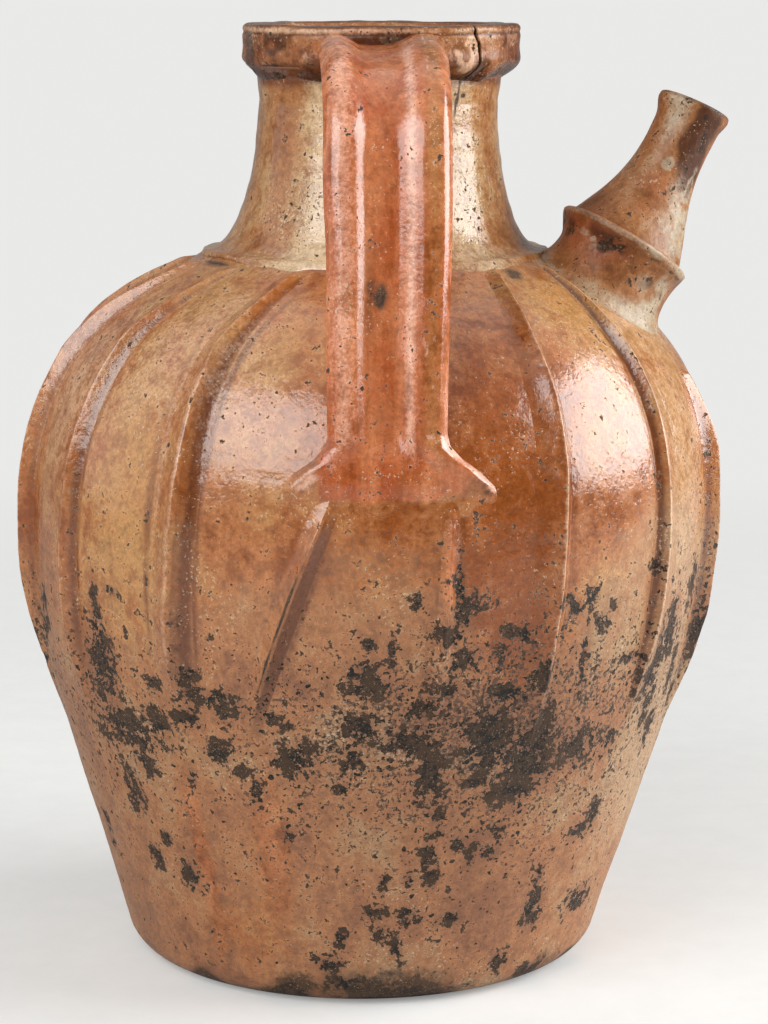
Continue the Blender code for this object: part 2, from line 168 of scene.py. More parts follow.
def rounded_corner(before: Point, corner: Point, after: Point, radius: float, count: int) -> Array:
    """Arc that rounds a corner between two straight sides.

    The arc's centre is on the corner's bisector, radius / sin(half the angle) away.

    Args:
        before: A point on the side that comes in.
        corner: The sharp corner.
        after: A point on the side that goes out.
        radius: The arc's radius.
        count: How many points to give.

    Returns:
        Points of the arc, one to a row.
    """
    corner = np.asarray(corner, float)
    back = np.asarray(before, float) - corner
    ahead = np.asarray(after, float) - corner
    back /= np.linalg.norm(back)
    ahead /= np.linalg.norm(ahead)
    half = math.acos(float(np.clip(back @ ahead, -1, 1))) / 2
    bisector = back + ahead
    bisector /= np.linalg.norm(bisector)
    centre = corner + bisector * radius / math.sin(half)
    first = corner + back * radius / math.tan(half) - centre
    last = corner + ahead * radius / math.tan(half) - centre
    start = math.atan2(first[1], first[0])
    sweep = math.remainder(math.atan2(last[1], last[0]) - start, math.tau)
    angle = start + sweep * np.linspace(0.0, 1.0, count)
    return centre + radius * np.stack([np.cos(angle), np.sin(angle)], axis=1)


def arc_length(line: Array) -> Array:
    """Distance along a polyline at each of its points."""
    steps = np.linalg.norm(np.diff(line, axis=0), axis=1)
    return np.concatenate([[0.0], np.cumsum(steps)])


def along(line: Array, spots: Array) -> Array:
    """Points of a polyline at given distances along it."""
    length = arc_length(line)
    return np.stack([np.interp(spots, length, column) for column in line.T], axis=1)


def evenly(line: Array, count: int) -> Array:
    """As many points as wanted, evenly along a polyline."""
    return along(line, np.linspace(0, arc_length(line)[-1], count))


def side_normals(line: Array) -> Array:
    """Unit vectors square to a flat polyline, to the right of its run.

    Args:
        line: Points as (radius, height).

    Returns:
        Unit vectors (radius, height), outward for a line that runs up the outer side.
    """
    run = np.gradient(line, axis=0)
    run /= np.maximum(np.linalg.norm(run, axis=1, keepdims=True), 1e-12)
    return np.stack([run[:, 1], -run[:, 0]], axis=1)


def cell_values(cells: Array, seed: int) -> Array:
    """Random number for each whole-numbered cell, by mixing the bits of its three numbers.

    Args:
        cells: Whole numbers, the last axis of length 3.
        seed: Which of many patterns.

    Returns:
        Numbers from -1 to 1.
    """
    cells = cells.astype(np.uint64)
    mixed = cells[..., 0] * np.uint64(73856093) ^ cells[..., 1] * np.uint64(19349663)
    mixed ^= cells[..., 2] * np.uint64(83492791) ^ np.uint64(seed * 2654435761 % 2**32)
    mask = np.uint64(0xFFFFFFFF)
    mixed &= mask
    mixed = ((mixed ^ (mixed >> np.uint64(15))) * np.uint64(2246822519)) & mask
    mixed = ((mixed ^ (mixed >> np.uint64(13))) * np.uint64(3266489917)) & mask
    mixed ^= mixed >> np.uint64(16)
    return mixed.astype(float) / 2147483647.5 - 1.0


def lumps(points: Array, size: float, seed: int) -> Array:
    """Smooth random lumps: cell values blended with eased weights over the eight corners.

    Args:
        points: Places in space, the last axis of length 3.
        size: Distance between neighbouring lumps, in millimetres.
        seed: Which of many patterns.

    Returns:
        Heights from about -1 to 1.
    """
    scaled = points / (size * MM) + AWAY_FROM_ZERO
    base = np.floor(scaled)
    weight = eased(scaled - base)
    total = np.zeros(points.shape[:-1])
    for corner in np.ndindex(2, 2, 2):
        offset = np.array(corner)
        share = np.prod(np.where(offset, weight, 1.0 - weight), axis=-1)
        total += share * cell_values((base + offset).astype(np.int64), seed)
    return total


@dataclass
class Skin:
    """A grid of points with its marks, on the way to becoming a piece."""

    points: Array
    marks: Marks = field(default_factory=dict)
    wrap_across: bool = True
    wrap_along: bool = False
    start_pole: bool = False
    end_pole: bool = False

    def faces(self) -> list[list[int]]:
        """Quads of the grid, with fans of triangles round its poles.

        Returns:
            Corner numbers of each face.
        """
        rows, columns = self.points.shape[:2]
        number = np.arange(rows * columns).reshape(rows, columns)
        if self.wrap_across:
            number = np.concatenate([number, number[:, :1]], axis=1)
        if self.wrap_along:
            number = np.concatenate([number, number[:1]])
        quads = [number[:-1, :-1], number[:-1, 1:], number[1:, 1:], number[1:, :-1]]
        made = np.stack(quads, axis=-1).reshape(-1, 4).tolist()
        if self.start_pole:
            made += [[rows * columns, b, a] for a, b in pairwise(number[0].tolist())]
        if self.end_pole:
            pole = rows * columns + int(self.start_pole)
            made += [[pole, a, b] for a, b in pairwise(number[-1].tolist())]
        return made

    def vertices(self) -> Array:
        """Points in one list, each pole after them.

        Returns:
            Array of points, one to a row.
        """
        parts = [self.points.reshape(-1, 3)]
        if self.start_pole:
            parts.append(self.points[0].mean(axis=0)[None])
        if self.end_pole:
            parts.append(self.points[-1].mean(axis=0)[None])
        return np.concatenate(parts)

    def mark_values(self, mark: Mark) -> Array:
        """One number for each vertex, 0 where the mark isn't given.

        Args:
            mark: Which mark.

        Returns:
            Values from 0 to 1 in the order of the vertices.
        """
        grid = np.zeros(self.points.shape[:2])
        if mark in self.marks:
            grid = np.broadcast_to(self.marks[mark], self.points.shape[:2])
        parts = [grid.ravel()]
        if self.start_pole:
            parts.append([grid[0].mean()])
        if self.end_pole:
            parts.append([grid[-1].mean()])
        return np.clip(np.concatenate(parts), 0.0, 1.0)


# A piece's name, material slot, CAD node and surface
Skins = Iterator[tuple[str, Slot, str, Skin]]


def signed_volume(points: Array, faces: list[list[int]]) -> float:
    """Volume inside a closed mesh: a sixth of the sum of a . (b x c) over its triangles.

    Args:
        points: Vertices.
        faces: Corner numbers of each face.

    Returns:
        Volume, positive where the faces point outward.
    """
    firsts = np.array([face[:3] for face in faces])
    seconds = np.array([[face[0], face[2], face[-1]] for face in faces if len(face) == 4])
    triangles = np.concatenate([firsts, seconds]) if len(seconds) else firsts
    a, b, c = (points[triangles[:, i]] for i in range(3))
    return float(np.einsum("ij,ij->i", a, np.cross(b, c)).sum() / 6.0)


def add_object(name: str, data: bpy.types.ID) -> Object:
    """Make an object of a mesh, lamp or camera and link it to the scene."""
    made = bpy.data.objects.new(name, data)
    bpy.context.scene.collection.objects.link(made)
    return made


def mesh_object(
    name: str, points: Array, faces: list[list[int]], material: Material
) -> Object:
    """Make a smooth mesh object at the origin.

    Args:
        name: The object's name.
        points: Vertices.
        faces: Corner numbers of each face.
        material: Its finish.

    Returns:
        The object, linked to the scene.
    """
    mesh = bpy.data.meshes.new(name)
    mesh.from_pydata(points.tolist(), [], faces)
    mesh.polygons.foreach_set("use_smooth", np.ones(len(mesh.polygons), bool))
    mesh.materials.append(material)
    return add_object(name, mesh)


def make_piece(name: str, skin: Skin, material: Material) -> Object:
    """Turn a skin into a mesh object, faces outward, with its marks.

    Args:
        name: The piece's name.
        skin: Its surface.
        material: Its finish.

    Returns:
        The object, linked to the scene.
    """
    points = skin.vertices()
    faces = skin.faces()
    if signed_volume(points, faces) < 0.0:
        faces = [face[::-1] for face in faces]
    piece = mesh_object(name, points, faces, material)
    for mark in Mark:
        attribute = piece.data.attributes.new(mark.value, "FLOAT", "POINT")
        attribute.data.foreach_set("value", skin.mark_values(mark).astype(np.float32))
    piece.data.update()
    return piece


@dataclass(frozen=True)
class PotForm:
    """The pot's outline, which every piece on it follows. Lengths are in metres."""

    rim_height: float = 0.350
    neck_foot_height: float = 0.2665
    belly_height: float = 0.172
    lip_band_height: float = 0.0190
    foot_radius: float = 0.0876
    belly_radius: float = 0.1286
    shoulder_top_radius: float = 0.0635
    shoulder_bore_radius: float = 0.0520
    neck_foot_radius: float = 0.0605
    throat_radius: float = 0.0446
    lip_foot_radius: float = 0.0457
    lip_radius: float = 0.0516
    wall_flare: float = math.radians(16.0)
    wall_pull: float = 0.085
    belly_pull_below: float = 0.050
    belly_pull_above: float = 0.075
    shoulder_top_slope: float = math.radians(45.0)
    shoulder_top_pull: float = 0.015
    neck_foot_rise: float = math.radians(20.0)
    neck_foot_pull: float = 0.010
    throat_pull: float = 0.0275
    throat_below_lip: float = 0.0090
    wall: float = 0.0070
    floor: float = 0.0090
    neck_wall: float = 0.0062
    lean: float = 0.0198
    fineness: int = 160

    @property
    def lip_foot_height(self) -> float:
        """Height of the joint between the neck and the rim band."""
        return self.rim_height - self.lip_band_height

    @property
    def bore_radius(self) -> float:
        """Radius of the bore in the neck and the rim."""
        return self.throat_radius - self.neck_wall

    def body_line(self) -> Array:
        """Outer side of the body from the foot to the shoulder's top, as two cubic stretches.

        Returns:
            Points (radius, height).
        """
        foot = (self.foot_radius, 0.0)
        foot_pull = (
            self.foot_radius + self.wall_pull * math.sin(self.wall_flare),
            self.wall_pull * math.cos(self.wall_flare),
        )
        belly = (self.belly_radius, self.belly_height)
        below = (self.belly_radius, self.belly_height - self.belly_pull_below)
        above = (self.belly_radius, self.belly_height + self.belly_pull_above)
        top = (self.shoulder_top_radius, self.neck_foot_height)
        top_pull = (
            top[0] + self.shoulder_top_pull * math.cos(self.shoulder_top_slope),
            top[1] - self.shoulder_top_pull * math.sin(self.shoulder_top_slope),
        )
        wall = bezier(foot, foot_pull, below, belly, self.fineness)
        shoulder = bezier(belly, above, top_pull, top, self.fineness)
        return np.concatenate([wall, shoulder[1:]])

    def neck_line(self) -> Array:
        """Outer side of the neck from its foot to the lip band, as one cubic stretch.

        Returns:
            Points (radius, height).
        """
        foot = np.array([self.neck_foot_radius, self.neck_foot_height])
        rise = np.array([-math.cos(self.neck_foot_rise), math.sin(self.neck_foot_rise)])
        throat = np.array([self.throat_radius, self.lip_foot_height - self.throat_below_lip])
        throat_pull = throat - (0.0, self.throat_pull)
        top = np.array([[self.lip_foot_radius, self.lip_foot_height]])
        neck = bezier(foot, foot + rise * self.neck_foot_pull, throat_pull, throat, self.fineness)
        return np.concatenate([neck, top])

    def envelope(self) -> Array:
        """Outer side of the whole pot, body, neck and band, upward.

        Returns:
            Points (radius, height).
        """
        foot = self.lip_foot_height
        band = [(self.lip_radius, foot + 0.006), (self.lip_radius, self.rim_height)]
        return np.concatenate([self.body_line(), self.neck_line(), band])

    def leaned(self, points: Array) -> Array:
        """Points after the pot's lean: x grows by lean times height.

        Args:
            points: Places before the lean, the last axis of length 3.

        Returns:
            Places after it.
        """
        moved = np.array(points, float)
        moved[..., 0] += self.lean * moved[..., 2]
        return moved

    def radius_at(self, height: Array) -> Array:
        """Outer radius of the whole pot at heights."""
        line = self.envelope()
        return np.interp(height, line[:, 1], line[:, 0])

    def on_pot(self, azimuth: Array, height: Array, out: Array) -> Array:
        """Places a distance out from the pot's surface, square to it, before the lean.

        Args:
            azimuth: Angles from the handle toward the spout.
            height: Heights on the outline.
            out: Distances from the surface.

        Returns:
            Points, the last axis of length 3.
        """
        line = self.envelope()
        normal = side_normals(line)
        radius = np.interp(height, line[:, 1], line[:, 0])
        across = np.interp(height, line[:, 1], normal[:, 0])
        up = np.interp(height, line[:, 1], normal[:, 1])
        size = np.hypot(across, up)
        return round_points(azimuth, radius + out * across / size, height + out * up / size)


def round_points(azimuth: Array, radius: Array, height: Array) -> Array:
    """Places from angle, radius and height: x = r sin(a), y = -r cos(a)."""
    azimuth, radius, height = np.broadcast_arrays(azimuth, radius, height)
    return np.stack([radius * np.sin(azimuth), -radius * np.cos(azimuth), height], axis=-1)


@dataclass(frozen=True)
class Spots:
    """Spots of a turned surface, given by arrays that broadcast to rows by angles."""

    azimuth: Array
    radius: Array
    height: Array

    def place(self) -> Array:
        """Places of the spots before the lean."""
        return round_points(self.azimuth, self.radius, self.height)

    def pushed(self, normal: Array, out: Array) -> Array:
        """Places a distance out along the outline's normals."""
        across, up = normal[:, :1], normal[:, 1:]
        return round_points(self.azimuth, self.radius + across * out, self.height + up * out)


@dataclass(frozen=True)
class Clay:
    """How the hand-made surface departs from the turned outline.

    Swells are (height and size in mm, seed). Waves of the glaze's lower edge are (height, how
    many round the pot, phase), and its bays (angle in degrees, reach in radians, rise).
    """

    swells: tuple[tuple[float, float, int], ...] = ((0.55, 55, 1), (0.32, 22, 2), (0.05, 6, 3))
    ring_height: float = 0.05 * MM
    ring_pitch: float = 6.5 * MM
    ring_wander: float = 2.0 * MM
    glazed_to: float = 0.160
    waves: tuple[tuple[float, float, float], ...] = ((0.009, 2.0, 0.6), (0.006, 5.0, 1.9))
    bays: tuple[tuple[float, float, float], ...] = ((21.0, 0.17, -0.042), (50.0, 0.16, 0.012))

    def unevenness(self, spots: Spots) -> Array:
        """Distance out from the turned outline: slow lumps, finger lines and a fine ripple.

        Args:
            spots: Spots of the outline.

        Returns:
            Distances in metres.
        """
        place = spots.place()
        total = sum(height * MM * lumps(place, size, seed) for height, size, seed in self.swells)
        wander = spots.height + self.ring_wander * lumps(place, 60, 4)
        faint = 0.6 + 0.4 * lumps(place, 40, 5)
        return total + self.ring_height * np.sin(math.tau * wander / self.ring_pitch) * faint

    def glaze_line(self, azimuth: Array) -> Array:
        """Height down to which the glaze still shines: slow waves and bays.

        Args:
            azimuth: Angles round the pot.

        Returns:
            Heights in metres.
        """
        line = self.glazed_to
        for height, number, phase in self.waves:
            line = line + height * np.sin(number * azimuth + phase)
        for degrees, reach, rise in self.bays:
            line = line + rise * bell_round(azimuth, degrees, reach)
        return line


# Patches where the glaze has flaked off and the clay has gone black, as
# (angle from the handle in degrees, height, half width, half height in mm).
FLAKES = (
    (10.9, 163, 1.7, 12.0), (49.6, 161, 2.3, 3.0), (4.4, 158, 1.7, 2.8), (12.4, 155, 4.8, 5.7),
    (28.9, 155, 3.9, 2.5), (34.7, 155, 3.4, 3.3), (-48, 154, 3.3, 1.9), (31.6, 151, 3.3, 3.6),
    (39.8, 150, 2.8, 2.2), (67.2, 148, 4.7, 8.2), (9.3, 146, 3.8, 4.7), (21, 145, 6.6, 2.9),
    (37.6, 145, 4.5, 3.4), (-2.6, 144, 2.1, 2.2), (-52.8, 143, 3.1, 11), (0.8, 141, 1.7, 4.8),
    (18.8, 138, 2.5, 3.7), (12.5, 137, 4.2, 3.7), (34.4, 136, 2.1, 11.4), (-3.6, 133, 5.5, 3.5),
    (58.8, 133, 4.0, 12.4), (26.3, 129, 4.6, 4.9), (-33.8, 129, 4.8, 3.1), (-2.3, 128, 6.9, 3.7),
    (46.2, 128, 6.5, 2.0), (10.1, 126, 3.5, 2.3), (-53.1, 126, 7.5, 13.3), (55.6, 124, 4.3, 10),
    (20, 123, 5.1, 3.0), (-40.6, 123, 3.3, 2.4), (-29.1, 120, 8.8, 3.1), (6.5, 119, 5.8, 3.0),
    (-27.1, 116, 4.7, 2.8), (54.6, 116, 6.3, 5.9), (-18.5, 115, 2.7, 1.9), (-3.2, 112, 5.5, 4.6),
    (-34.5, 112, 5.9, 3.2), (-16, 112, 1.9, 1.6), (27.9, 108, 3.2, 10.1), (4.1, 107, 5.5, 4.7),
    (18, 106, 7.2, 10.8), (-41.2, 106, 6.3, 8.7), (-49.6, 102, 14.3, 7.8), (-5.2, 100, 3.2, 5.1),
    (-28.8, 100, 4.4, 4.2), (-15, 100, 6.6, 5.9), (37, 97, 7.9, 5.8), (45.6, 97, 3.3, 4.5),
    (8.4, 95, 4.5, 10.3), (26.3, 95, 8.7, 11.4), (-24.4, 93, 2.5, 2.5), (17, 90, 4.0, 2.1),
    (-7, 89, 3.2, 1.7), (-45.6, 89, 4.1, 4.7), (8.6, 89, 4.6, 3.0), (-35.4, 88, 2.1, 4.5),
    (-22.1, 85, 2.1, 4.4), (25.1, 85, 9.5, 3.5), (22, 83, 7.6, 2.2), (10.5, 78, 1.8, 3.0),
    (-51.2, 76, 4.2, 8.9), (-17.3, 70, 2.7, 2.6), (22.6, 70, 2.3, 2.6), (10.8, 70, 3.6, 1.7),
    (47.8, 67, 3.6, 6.5), (15.2, 66, 2.9, 3.4), (9.4, 62, 2.8, 3.8), (18, 61, 2.2, 4.7),
    (44.8, 61, 6.1, 3.2), (-45.4, 60, 2.7, 2.8), (21.8, 60, 3.1, 2.6), (10, 53, 2.9, 3.4),
    (6.3, 52, 2.1, 3.4), (-50.3, 51, 3.2, 3.9), (1.1, 51, 1.8, 3.8), (-41, 47, 4.2, 6.5),
    (35.8, 45, 2.3, 5.4), (-0.3, 38, 4.3, 3.0), (6.1, 38, 2.9, 4.8), (8.5, 35, 2.2, 2.6),
    (15.4, 35, 3.7, 2.2), (36.4, 34, 4.2, 8.1), (1.2, 30, 2.9, 3.5), (52.5, 29, 7.6, 5.3),
    (-7.3, 28, 2.2, 3.9), (4.5, 24, 2.5, 5.2), (-10.4, 17, 5.3, 3.6), (30, 13, 4.3, 4.5),
    (-6.3, 9, 5.9, 2.9), (40.1, 6, 6.9, 2.9), (56, 107, 3.4, 8.0), (60, 97, 3.0, 7.0),
    (64, 118, 2.2, 9.0), (72, 128, 2.4, 8.0), (69, 104, 2.0, 6.0),
)

# Soft ovals where a mark of the glazed wall is raised or lowered, as
# (angle in degrees, height in mm, reach across in degrees, reach up in mm, amount).
# A few are painted light or shade, as noted above their rows.
PATCHES = {
    Mark.TONE: (
        (-48, 170, 9, 60, 0.42), (-46, 245, 12, 22, 0.38), (-30, 243, 10, 16, 0.28),
        (-70, 215, 9, 40, 0.20), (18, 205, 10, 42, -0.58), (21, 150, 8, 26, -0.48),
        (0, 175, 10, 20, -0.15), (38, 228, 8, 14, -0.10), (38, 184, 8, 12, -0.20),
        (38, 158, 9, 14, 0.42), (62, 190, 10, 70, 0.40), (45, 258, 25, 10, 0.22),
        # (78, 240) is painted light on the shoulder under the spout
        (60, 90, 26, 45, 0.32), (78, 240, 12, 14, 0.40), (20, 50, 30, 40, -0.05),
        # (58, 240) and (50, 244) are painted light on the shoulder beside the spout
        (-30, 85, 25, 40, -0.05), (58, 240, 7, 9, 0.35), (50, 244, 7, 9, 0.35),
        (-29, 28, 8, 16, 0.20),
    ),
    Mark.BLUSH: (
        (-20, 158, 11, 24, 0.30), (0, 188, 13, 8, 0.15), (-48, 140, 8, 30, 0.18),
        (-78, 220, 10, 26, 0.20), (12, 150, 9, 18, 0.20), (-36.5, 60, 1.8, 34, 0.40),
        (-20.5, 60, 3.6, 32, 0.34), (-36, 245, 16, 6, 0.25), (2, 78, 24, 30, 0.12),
    ),
    Mark.WEAR_AND_SHEEN: (
        # (62, 190) is painted sheen at the right edge; (50, 244) is painted light on the shoulder beside the
        # spout
        (62, 190, 10, 60, 0.46), (38, 158, 9, 12, 0.24), (50, 244, 6, 8, 0.15),
        # (-74, 232) is painted sheen on the left shoulder
        (-74, 232, 12, 26, 0.42), (-17, 214, 12, 14, 0.18), (-44, 238, 14, 26, 0.34),
        (-27, 236, 7, 20, 0.26), (-38.3, 190, 1.1, 38, 0.24), (-66, 205, 9, 34, 0.26),
        # (62, 80) is painted sheen low on the right side; (80, 240) is painted light under the spout
        (62, 80, 20, 50, 0.42), (-52, 190, 5, 40, 0.12), (80, 240, 10, 12, 0.40),
    ),
    Mark.GLAZE: (
        (-36.5, 62, 2.4, 36, 1.1), (-20.5, 62, 4.4, 34, 1.1), (21, 112, 6, 18, 0.4),
        (-47, 140, 8, 26, 0.4), (30, 140, 10, 16, 0.3), (-29, 28, 9, 17, 0.8),
    ),
    Mark.SOOT_AND_SHADE: (
        # (-62, 264) darkens the crease at the neck's foot
        (2, 6, 24, 12, 0.85), (48, 8, 12, 8, 0.5), (-62, 264, 10, 1.2, 0.9),
        (42, 262, 4, 3.0, 0.8), (63, 256, 5, 3.0, 0.5),
    ),
    # (1, 190.5) is a painted shadow under the handle's toe
    Mark.POOL_AND_SHADE: ((1, 190.5, 8.5, 1.8, 0.55), (-40.2, 190, 0.8, 38, 0.50)),
    Mark.GRIT: (
        (22, 115, 30, 45, 0.30), (66, 150, 15, 50, 0.26), (86, 140, 14, 50, 0.36),
        (-52, 112, 12, 40, 0.15), (16, 60, 30, 30, 0.08),
    ),
}


def far_side_flakes() -> list[tuple[float, float, float, float]]:
    """Flaked patches on the side away from the handle, strewn at random but always the same.

    Returns:
        Patches as in FLAKES.
    """
    draw = np.random.default_rng(11)
    count = 190
    azimuth = draw.uniform(72.0, 290.0, count)
    height = np.clip(draw.normal(104.0, 30.0, count), 8.0, 178.0)
    half_width = np.clip(draw.lognormal(1.15, 0.45, count), 1.6, 9.0)
    half_height = half_width * draw.uniform(0.6, 1.8, count)
    return list(zip(azimuth.tolist(), height.tolist(), half_width.tolist(), half_height.tolist()))


@dataclass(frozen=True)
class RibCut:
    """Cross shape and glaze of a rib.

    Its reach toward the handle and away from it, its relief, where it runs out below, and how
    strongly the marks of a flank of pooled glaze and painted shade, worn crest, sooty seam, warm
    crest and crisp flank of painted shade show.
    """

    near: float = 7.0 * MM
    far: float = 9.0 * MM
    pool: float = 0.55
    relief: float = 5.0 * MM
    low_end: float = 0.098
    low_fade: float = 0.045
    crest: float = 0.85
    seam: float = 0.0
    warm: float = 0.0
    crisp: float = 0.0


# Ribs that the photo shows, counted from 0 at the handle toward the spout. The others are plain.
RIB_CUTS = {
    0: RibCut(3.6 * MM, 4.0 * MM, 0.15, 2.9 * MM, crest=0.0, warm=0.8),
    1: RibCut(10.0 * MM, 5.5 * MM, 0.35),
    2: RibCut(3.3 * MM, 13.0 * MM, 1.0, 4.0 * MM),
    3: RibCut(6.0 * MM, 11.0 * MM, 0.7, 5.2 * MM, 0.084, 0.050),
    12: RibCut(6.0 * MM, 11.0 * MM, 0.6, 5.8 * MM, 0.083, 0.075),
    13: RibCut(5.6 * MM, 9.5 * MM, 0.8, 4.6 * MM, crest=0.5, crisp=0.35),
    14: RibCut(8.6 * MM, 11.5 * MM, 1.0, 5.0 * MM, crest=0.5, crisp=0.5),
    15: RibCut(5.6 * MM, 6.5 * MM, 0.75, 4.8 * MM, crest=0.05, seam=1.0, crisp=0.9),
}


@dataclass(frozen=True)
class RibLayout:
    """Where the applied ribs run. Angles are in radians, shifts in degrees, lengths in metres."""

    form: PotForm
    count: int = 16
    turn: float = math.radians(7.5)
    shifts: tuple[float, ...] = (
        2.0, -2.5, -1.5, -1.5, 1.0, -1.0, 0.5, 1.5, -1.0, 0.5, -0.5, 1.0, 0.5, 0.5, 3.0, 2.5,
    )
    twist: float = math.radians(3.5)
    slanted: int = 15
    slant: float = math.radians(24.0)
    swirl: float = math.radians(8.0)
    swirl_reach: float = 0.030
    top_fade: float = 0.028
    hidden_fade: float = 0.030
    below_handle: tuple[int, int] = (0, 15)
    below_socket: tuple[int, int] = (3, 4)
    handle_low: float = 0.1990
    socket_low: float = 0.2250

    def azimuth(self, number: int, height: Array) -> Array:
        """Angle of a rib's crest at heights: a small twist, and a swirl near the neck.

        Args:
            number: Rib, counted from 0.
            height: Heights.

        Returns:
            Angles in radians.
        """
        form = self.form
        start = self.turn + math.tau * number / self.count + math.radians(self.shifts[number])
        twist = self.twist + (self.slant if number == self.slanted else 0.0)
        above = np.maximum(height - form.neck_foot_height + self.swirl_reach, 0.0)
        run = (height - form.belly_height) / form.belly_height
        return start + twist * run + self.swirl * (above / self.swirl_reach) ** 2

    def cut(self, number: int) -> RibCut:
        """Cross shape of a rib, as the photographed ones differ."""
        return RIB_CUTS.get(number, RibCut())

    def handle_side(self, number: int) -> float:
        """Which way the handle lies from a rib: 1 toward greater angles, -1 toward smaller."""
        return -1.0 if number < self.count // 2 else 1.0

    def top(self, number: int) -> float:
        """Height at which a rib starts: the neck, or below the handle or the spout."""
        if number in self.below_handle:
            return self.handle_low
        if number in self.below_socket:
            return self.socket_low
        return self.form.neck_foot_height - 0.002

    def strength(self, number: int, height: Array) -> Array:
        """How much of its full relief a rib has at heights.

        Args:
            number: Rib, counted from 0.
            height: Heights.

        Returns:
            Shares from 0 to 1, fading toward both ends.
        """
        cut = self.cut(number)
        low = eased((height - cut.low_end) / cut.low_fade)
        below_top = self.top(number) - height
        if number in self.below_handle:
            return low * eased(below_top / self.hidden_fade)
        return low * (0.40 * eased(below_top / 0.004) + 0.60 * eased(below_top / self.top_fade))

    def across(self, number: int, spots: Spots) -> Array:
        """Distance from a rib's crest in shares of its reach, positive toward the handle.

        Args:
            number: Rib, counted from 0.
            spots: Spots round the pot.

        Returns:
            Shares, 1 at the edge toward the handle and -1 at the other.
        """
        cut = self.cut(number)
        off_crest = turn_between(spots.azimuth, self.azimuth(number, spots.height))
        distance = off_crest * spots.radius * self.handle_side(number)
        return np.where(distance > 0.0, distance / cut.near, distance / cut.far)


@dataclass
class MarkMap:
    """Marks of the pot's outer surface as functions of angle and height."""

    clay: Clay
    layout: RibLayout

    def beside_ribs(self, spots: Spots) -> Array:
        """Glaze run together along the ribs' feet, and painted shade on the side toward the handle, where it
        is strongest.

        Args:
            spots: Spots of the outer surface.

        Returns:
            Values from 0 to 1.
        """
        total = np.zeros(1)
        for number in range(self.layout.count):
            share = self.layout.across(number, spots)
            line = hump(share, 1.0, 0.20) * self.layout.cut(number).pool + 0.5 * hump(share, -1.0, 0.09)
            total = np.maximum(total, line * self.layout.strength(number, spots.height))
        return total

    def flaked(self, spots: Spots, arc: Array) -> Array:
        """Flaked patches as soft cones: 1 at the middle, about 0.5 at the given ellipse.

        Args:
            spots: Spots of the outer surface.
            arc: Distance along the outline there.

        Returns:
            Values from 0 to 1.
        """
        place = spots.place()
        ragged = 0.16 * lumps(place, 7.5, 22)
        parts = (spots.azimuth, spots.radius, spots.height, arc)
        angles, radii, heights, arcs = (np.broadcast_to(part, place.shape[:2]) for part in parts)
        row_height, row_arc = heights[:, 0], arcs[:, 0]
        total = np.zeros(place.shape[:2])
        for degrees, level, half_width, half_height in (*FLAKES, *far_side_flakes()):
            middle_arc = np.interp(level * MM, row_height, row_arc)
            near = np.abs(row_arc - middle_arc) < 2.4 * half_height * MM
            if not near.any():
                continue
            turn = turn_between(angles[near], math.radians(degrees)) * radii[near]
            rise = row_arc[near][:, None] - middle_arc
            away = np.hypot(turn / (half_width * MM), rise / (half_height * MM))
            cone = np.clip(1.08 - 0.54 * away + ragged[near], 0.0, 1.0) * (away < 2.2)
            total[near] = np.maximum(total[near], cone)
        return total

    def patched(self, mark: Mark, spots: Spots) -> Array:
        """Sum of a mark's soft ovals, each the product of two bells times its amount.

        Args:
            mark: Which mark.
            spots: Spots of the outer surface.

        Returns:
            Amounts to add.
        """
        total = 0.0
        for degrees, level, spread, reach, amount in PATCHES[mark]:
            turn = np.degrees(turn_between(spots.azimuth, math.radians(degrees)))
            total = total + amount * hump(turn, 0.0, spread) * hump(spots.height, level * MM, reach * MM)
        return total

    def body(self, spots: Spots, arc: Array) -> Marks:
        """All marks of the body's outer wall.

        Args:
            spots: Spots of the outer surface.
            arc: Distance along the outline there.

        Returns:
            One array for each mark.
        """
        azimuth, height, place = spots.azimuth, spots.height, spots.place()
        over_line = height - self.clay.glaze_line(azimuth) + 0.010 * lumps(place, 16, 31)
        # Darker toward the crease at the neck's foot
        crease = eased((height - 0.2618) / 0.004) * (0.45 + 0.4 * lumps(place, 12, 35))
        band = hump(height, 0.112, 0.036) * (0.30 + 0.14 * np.sin(3.0 * azimuth + 1.0))
        low = 0.16 * eased((0.150 - height) / 0.05)
        foot = 0.9 * eased((0.007 - height + 0.012 * lumps(place, 15, 34)) / 0.012)
        patched = {mark: self.patched(mark, spots) for mark in PATCHES}
        pooled_and_shaded = 0.9 * self.beside_ribs(spots) + crease + patched[Mark.POOL_AND_SHADE]
        return {
            Mark.GLAZE: eased(0.5 + over_line / 0.050) + patched[Mark.GLAZE],
            Mark.TONE: 0.5 + 0.20 * lumps(place, 34, 33) + patched[Mark.TONE],
            Mark.BLUSH: 0.08 + 0.10 * lumps(place, 33, 36) + patched[Mark.BLUSH],
            Mark.POOL_AND_SHADE: np.clip(pooled_and_shaded, 0.0, 1.0),
            Mark.WEAR_AND_SHEEN: patched[Mark.WEAR_AND_SHEEN],
            Mark.SCAR: self.flaked(spots, arc),
            Mark.GRIT: band + low + 0.07 + patched[Mark.GRIT],
            Mark.SOOT_AND_SHADE: foot + patched[Mark.SOOT_AND_SHADE],
        }


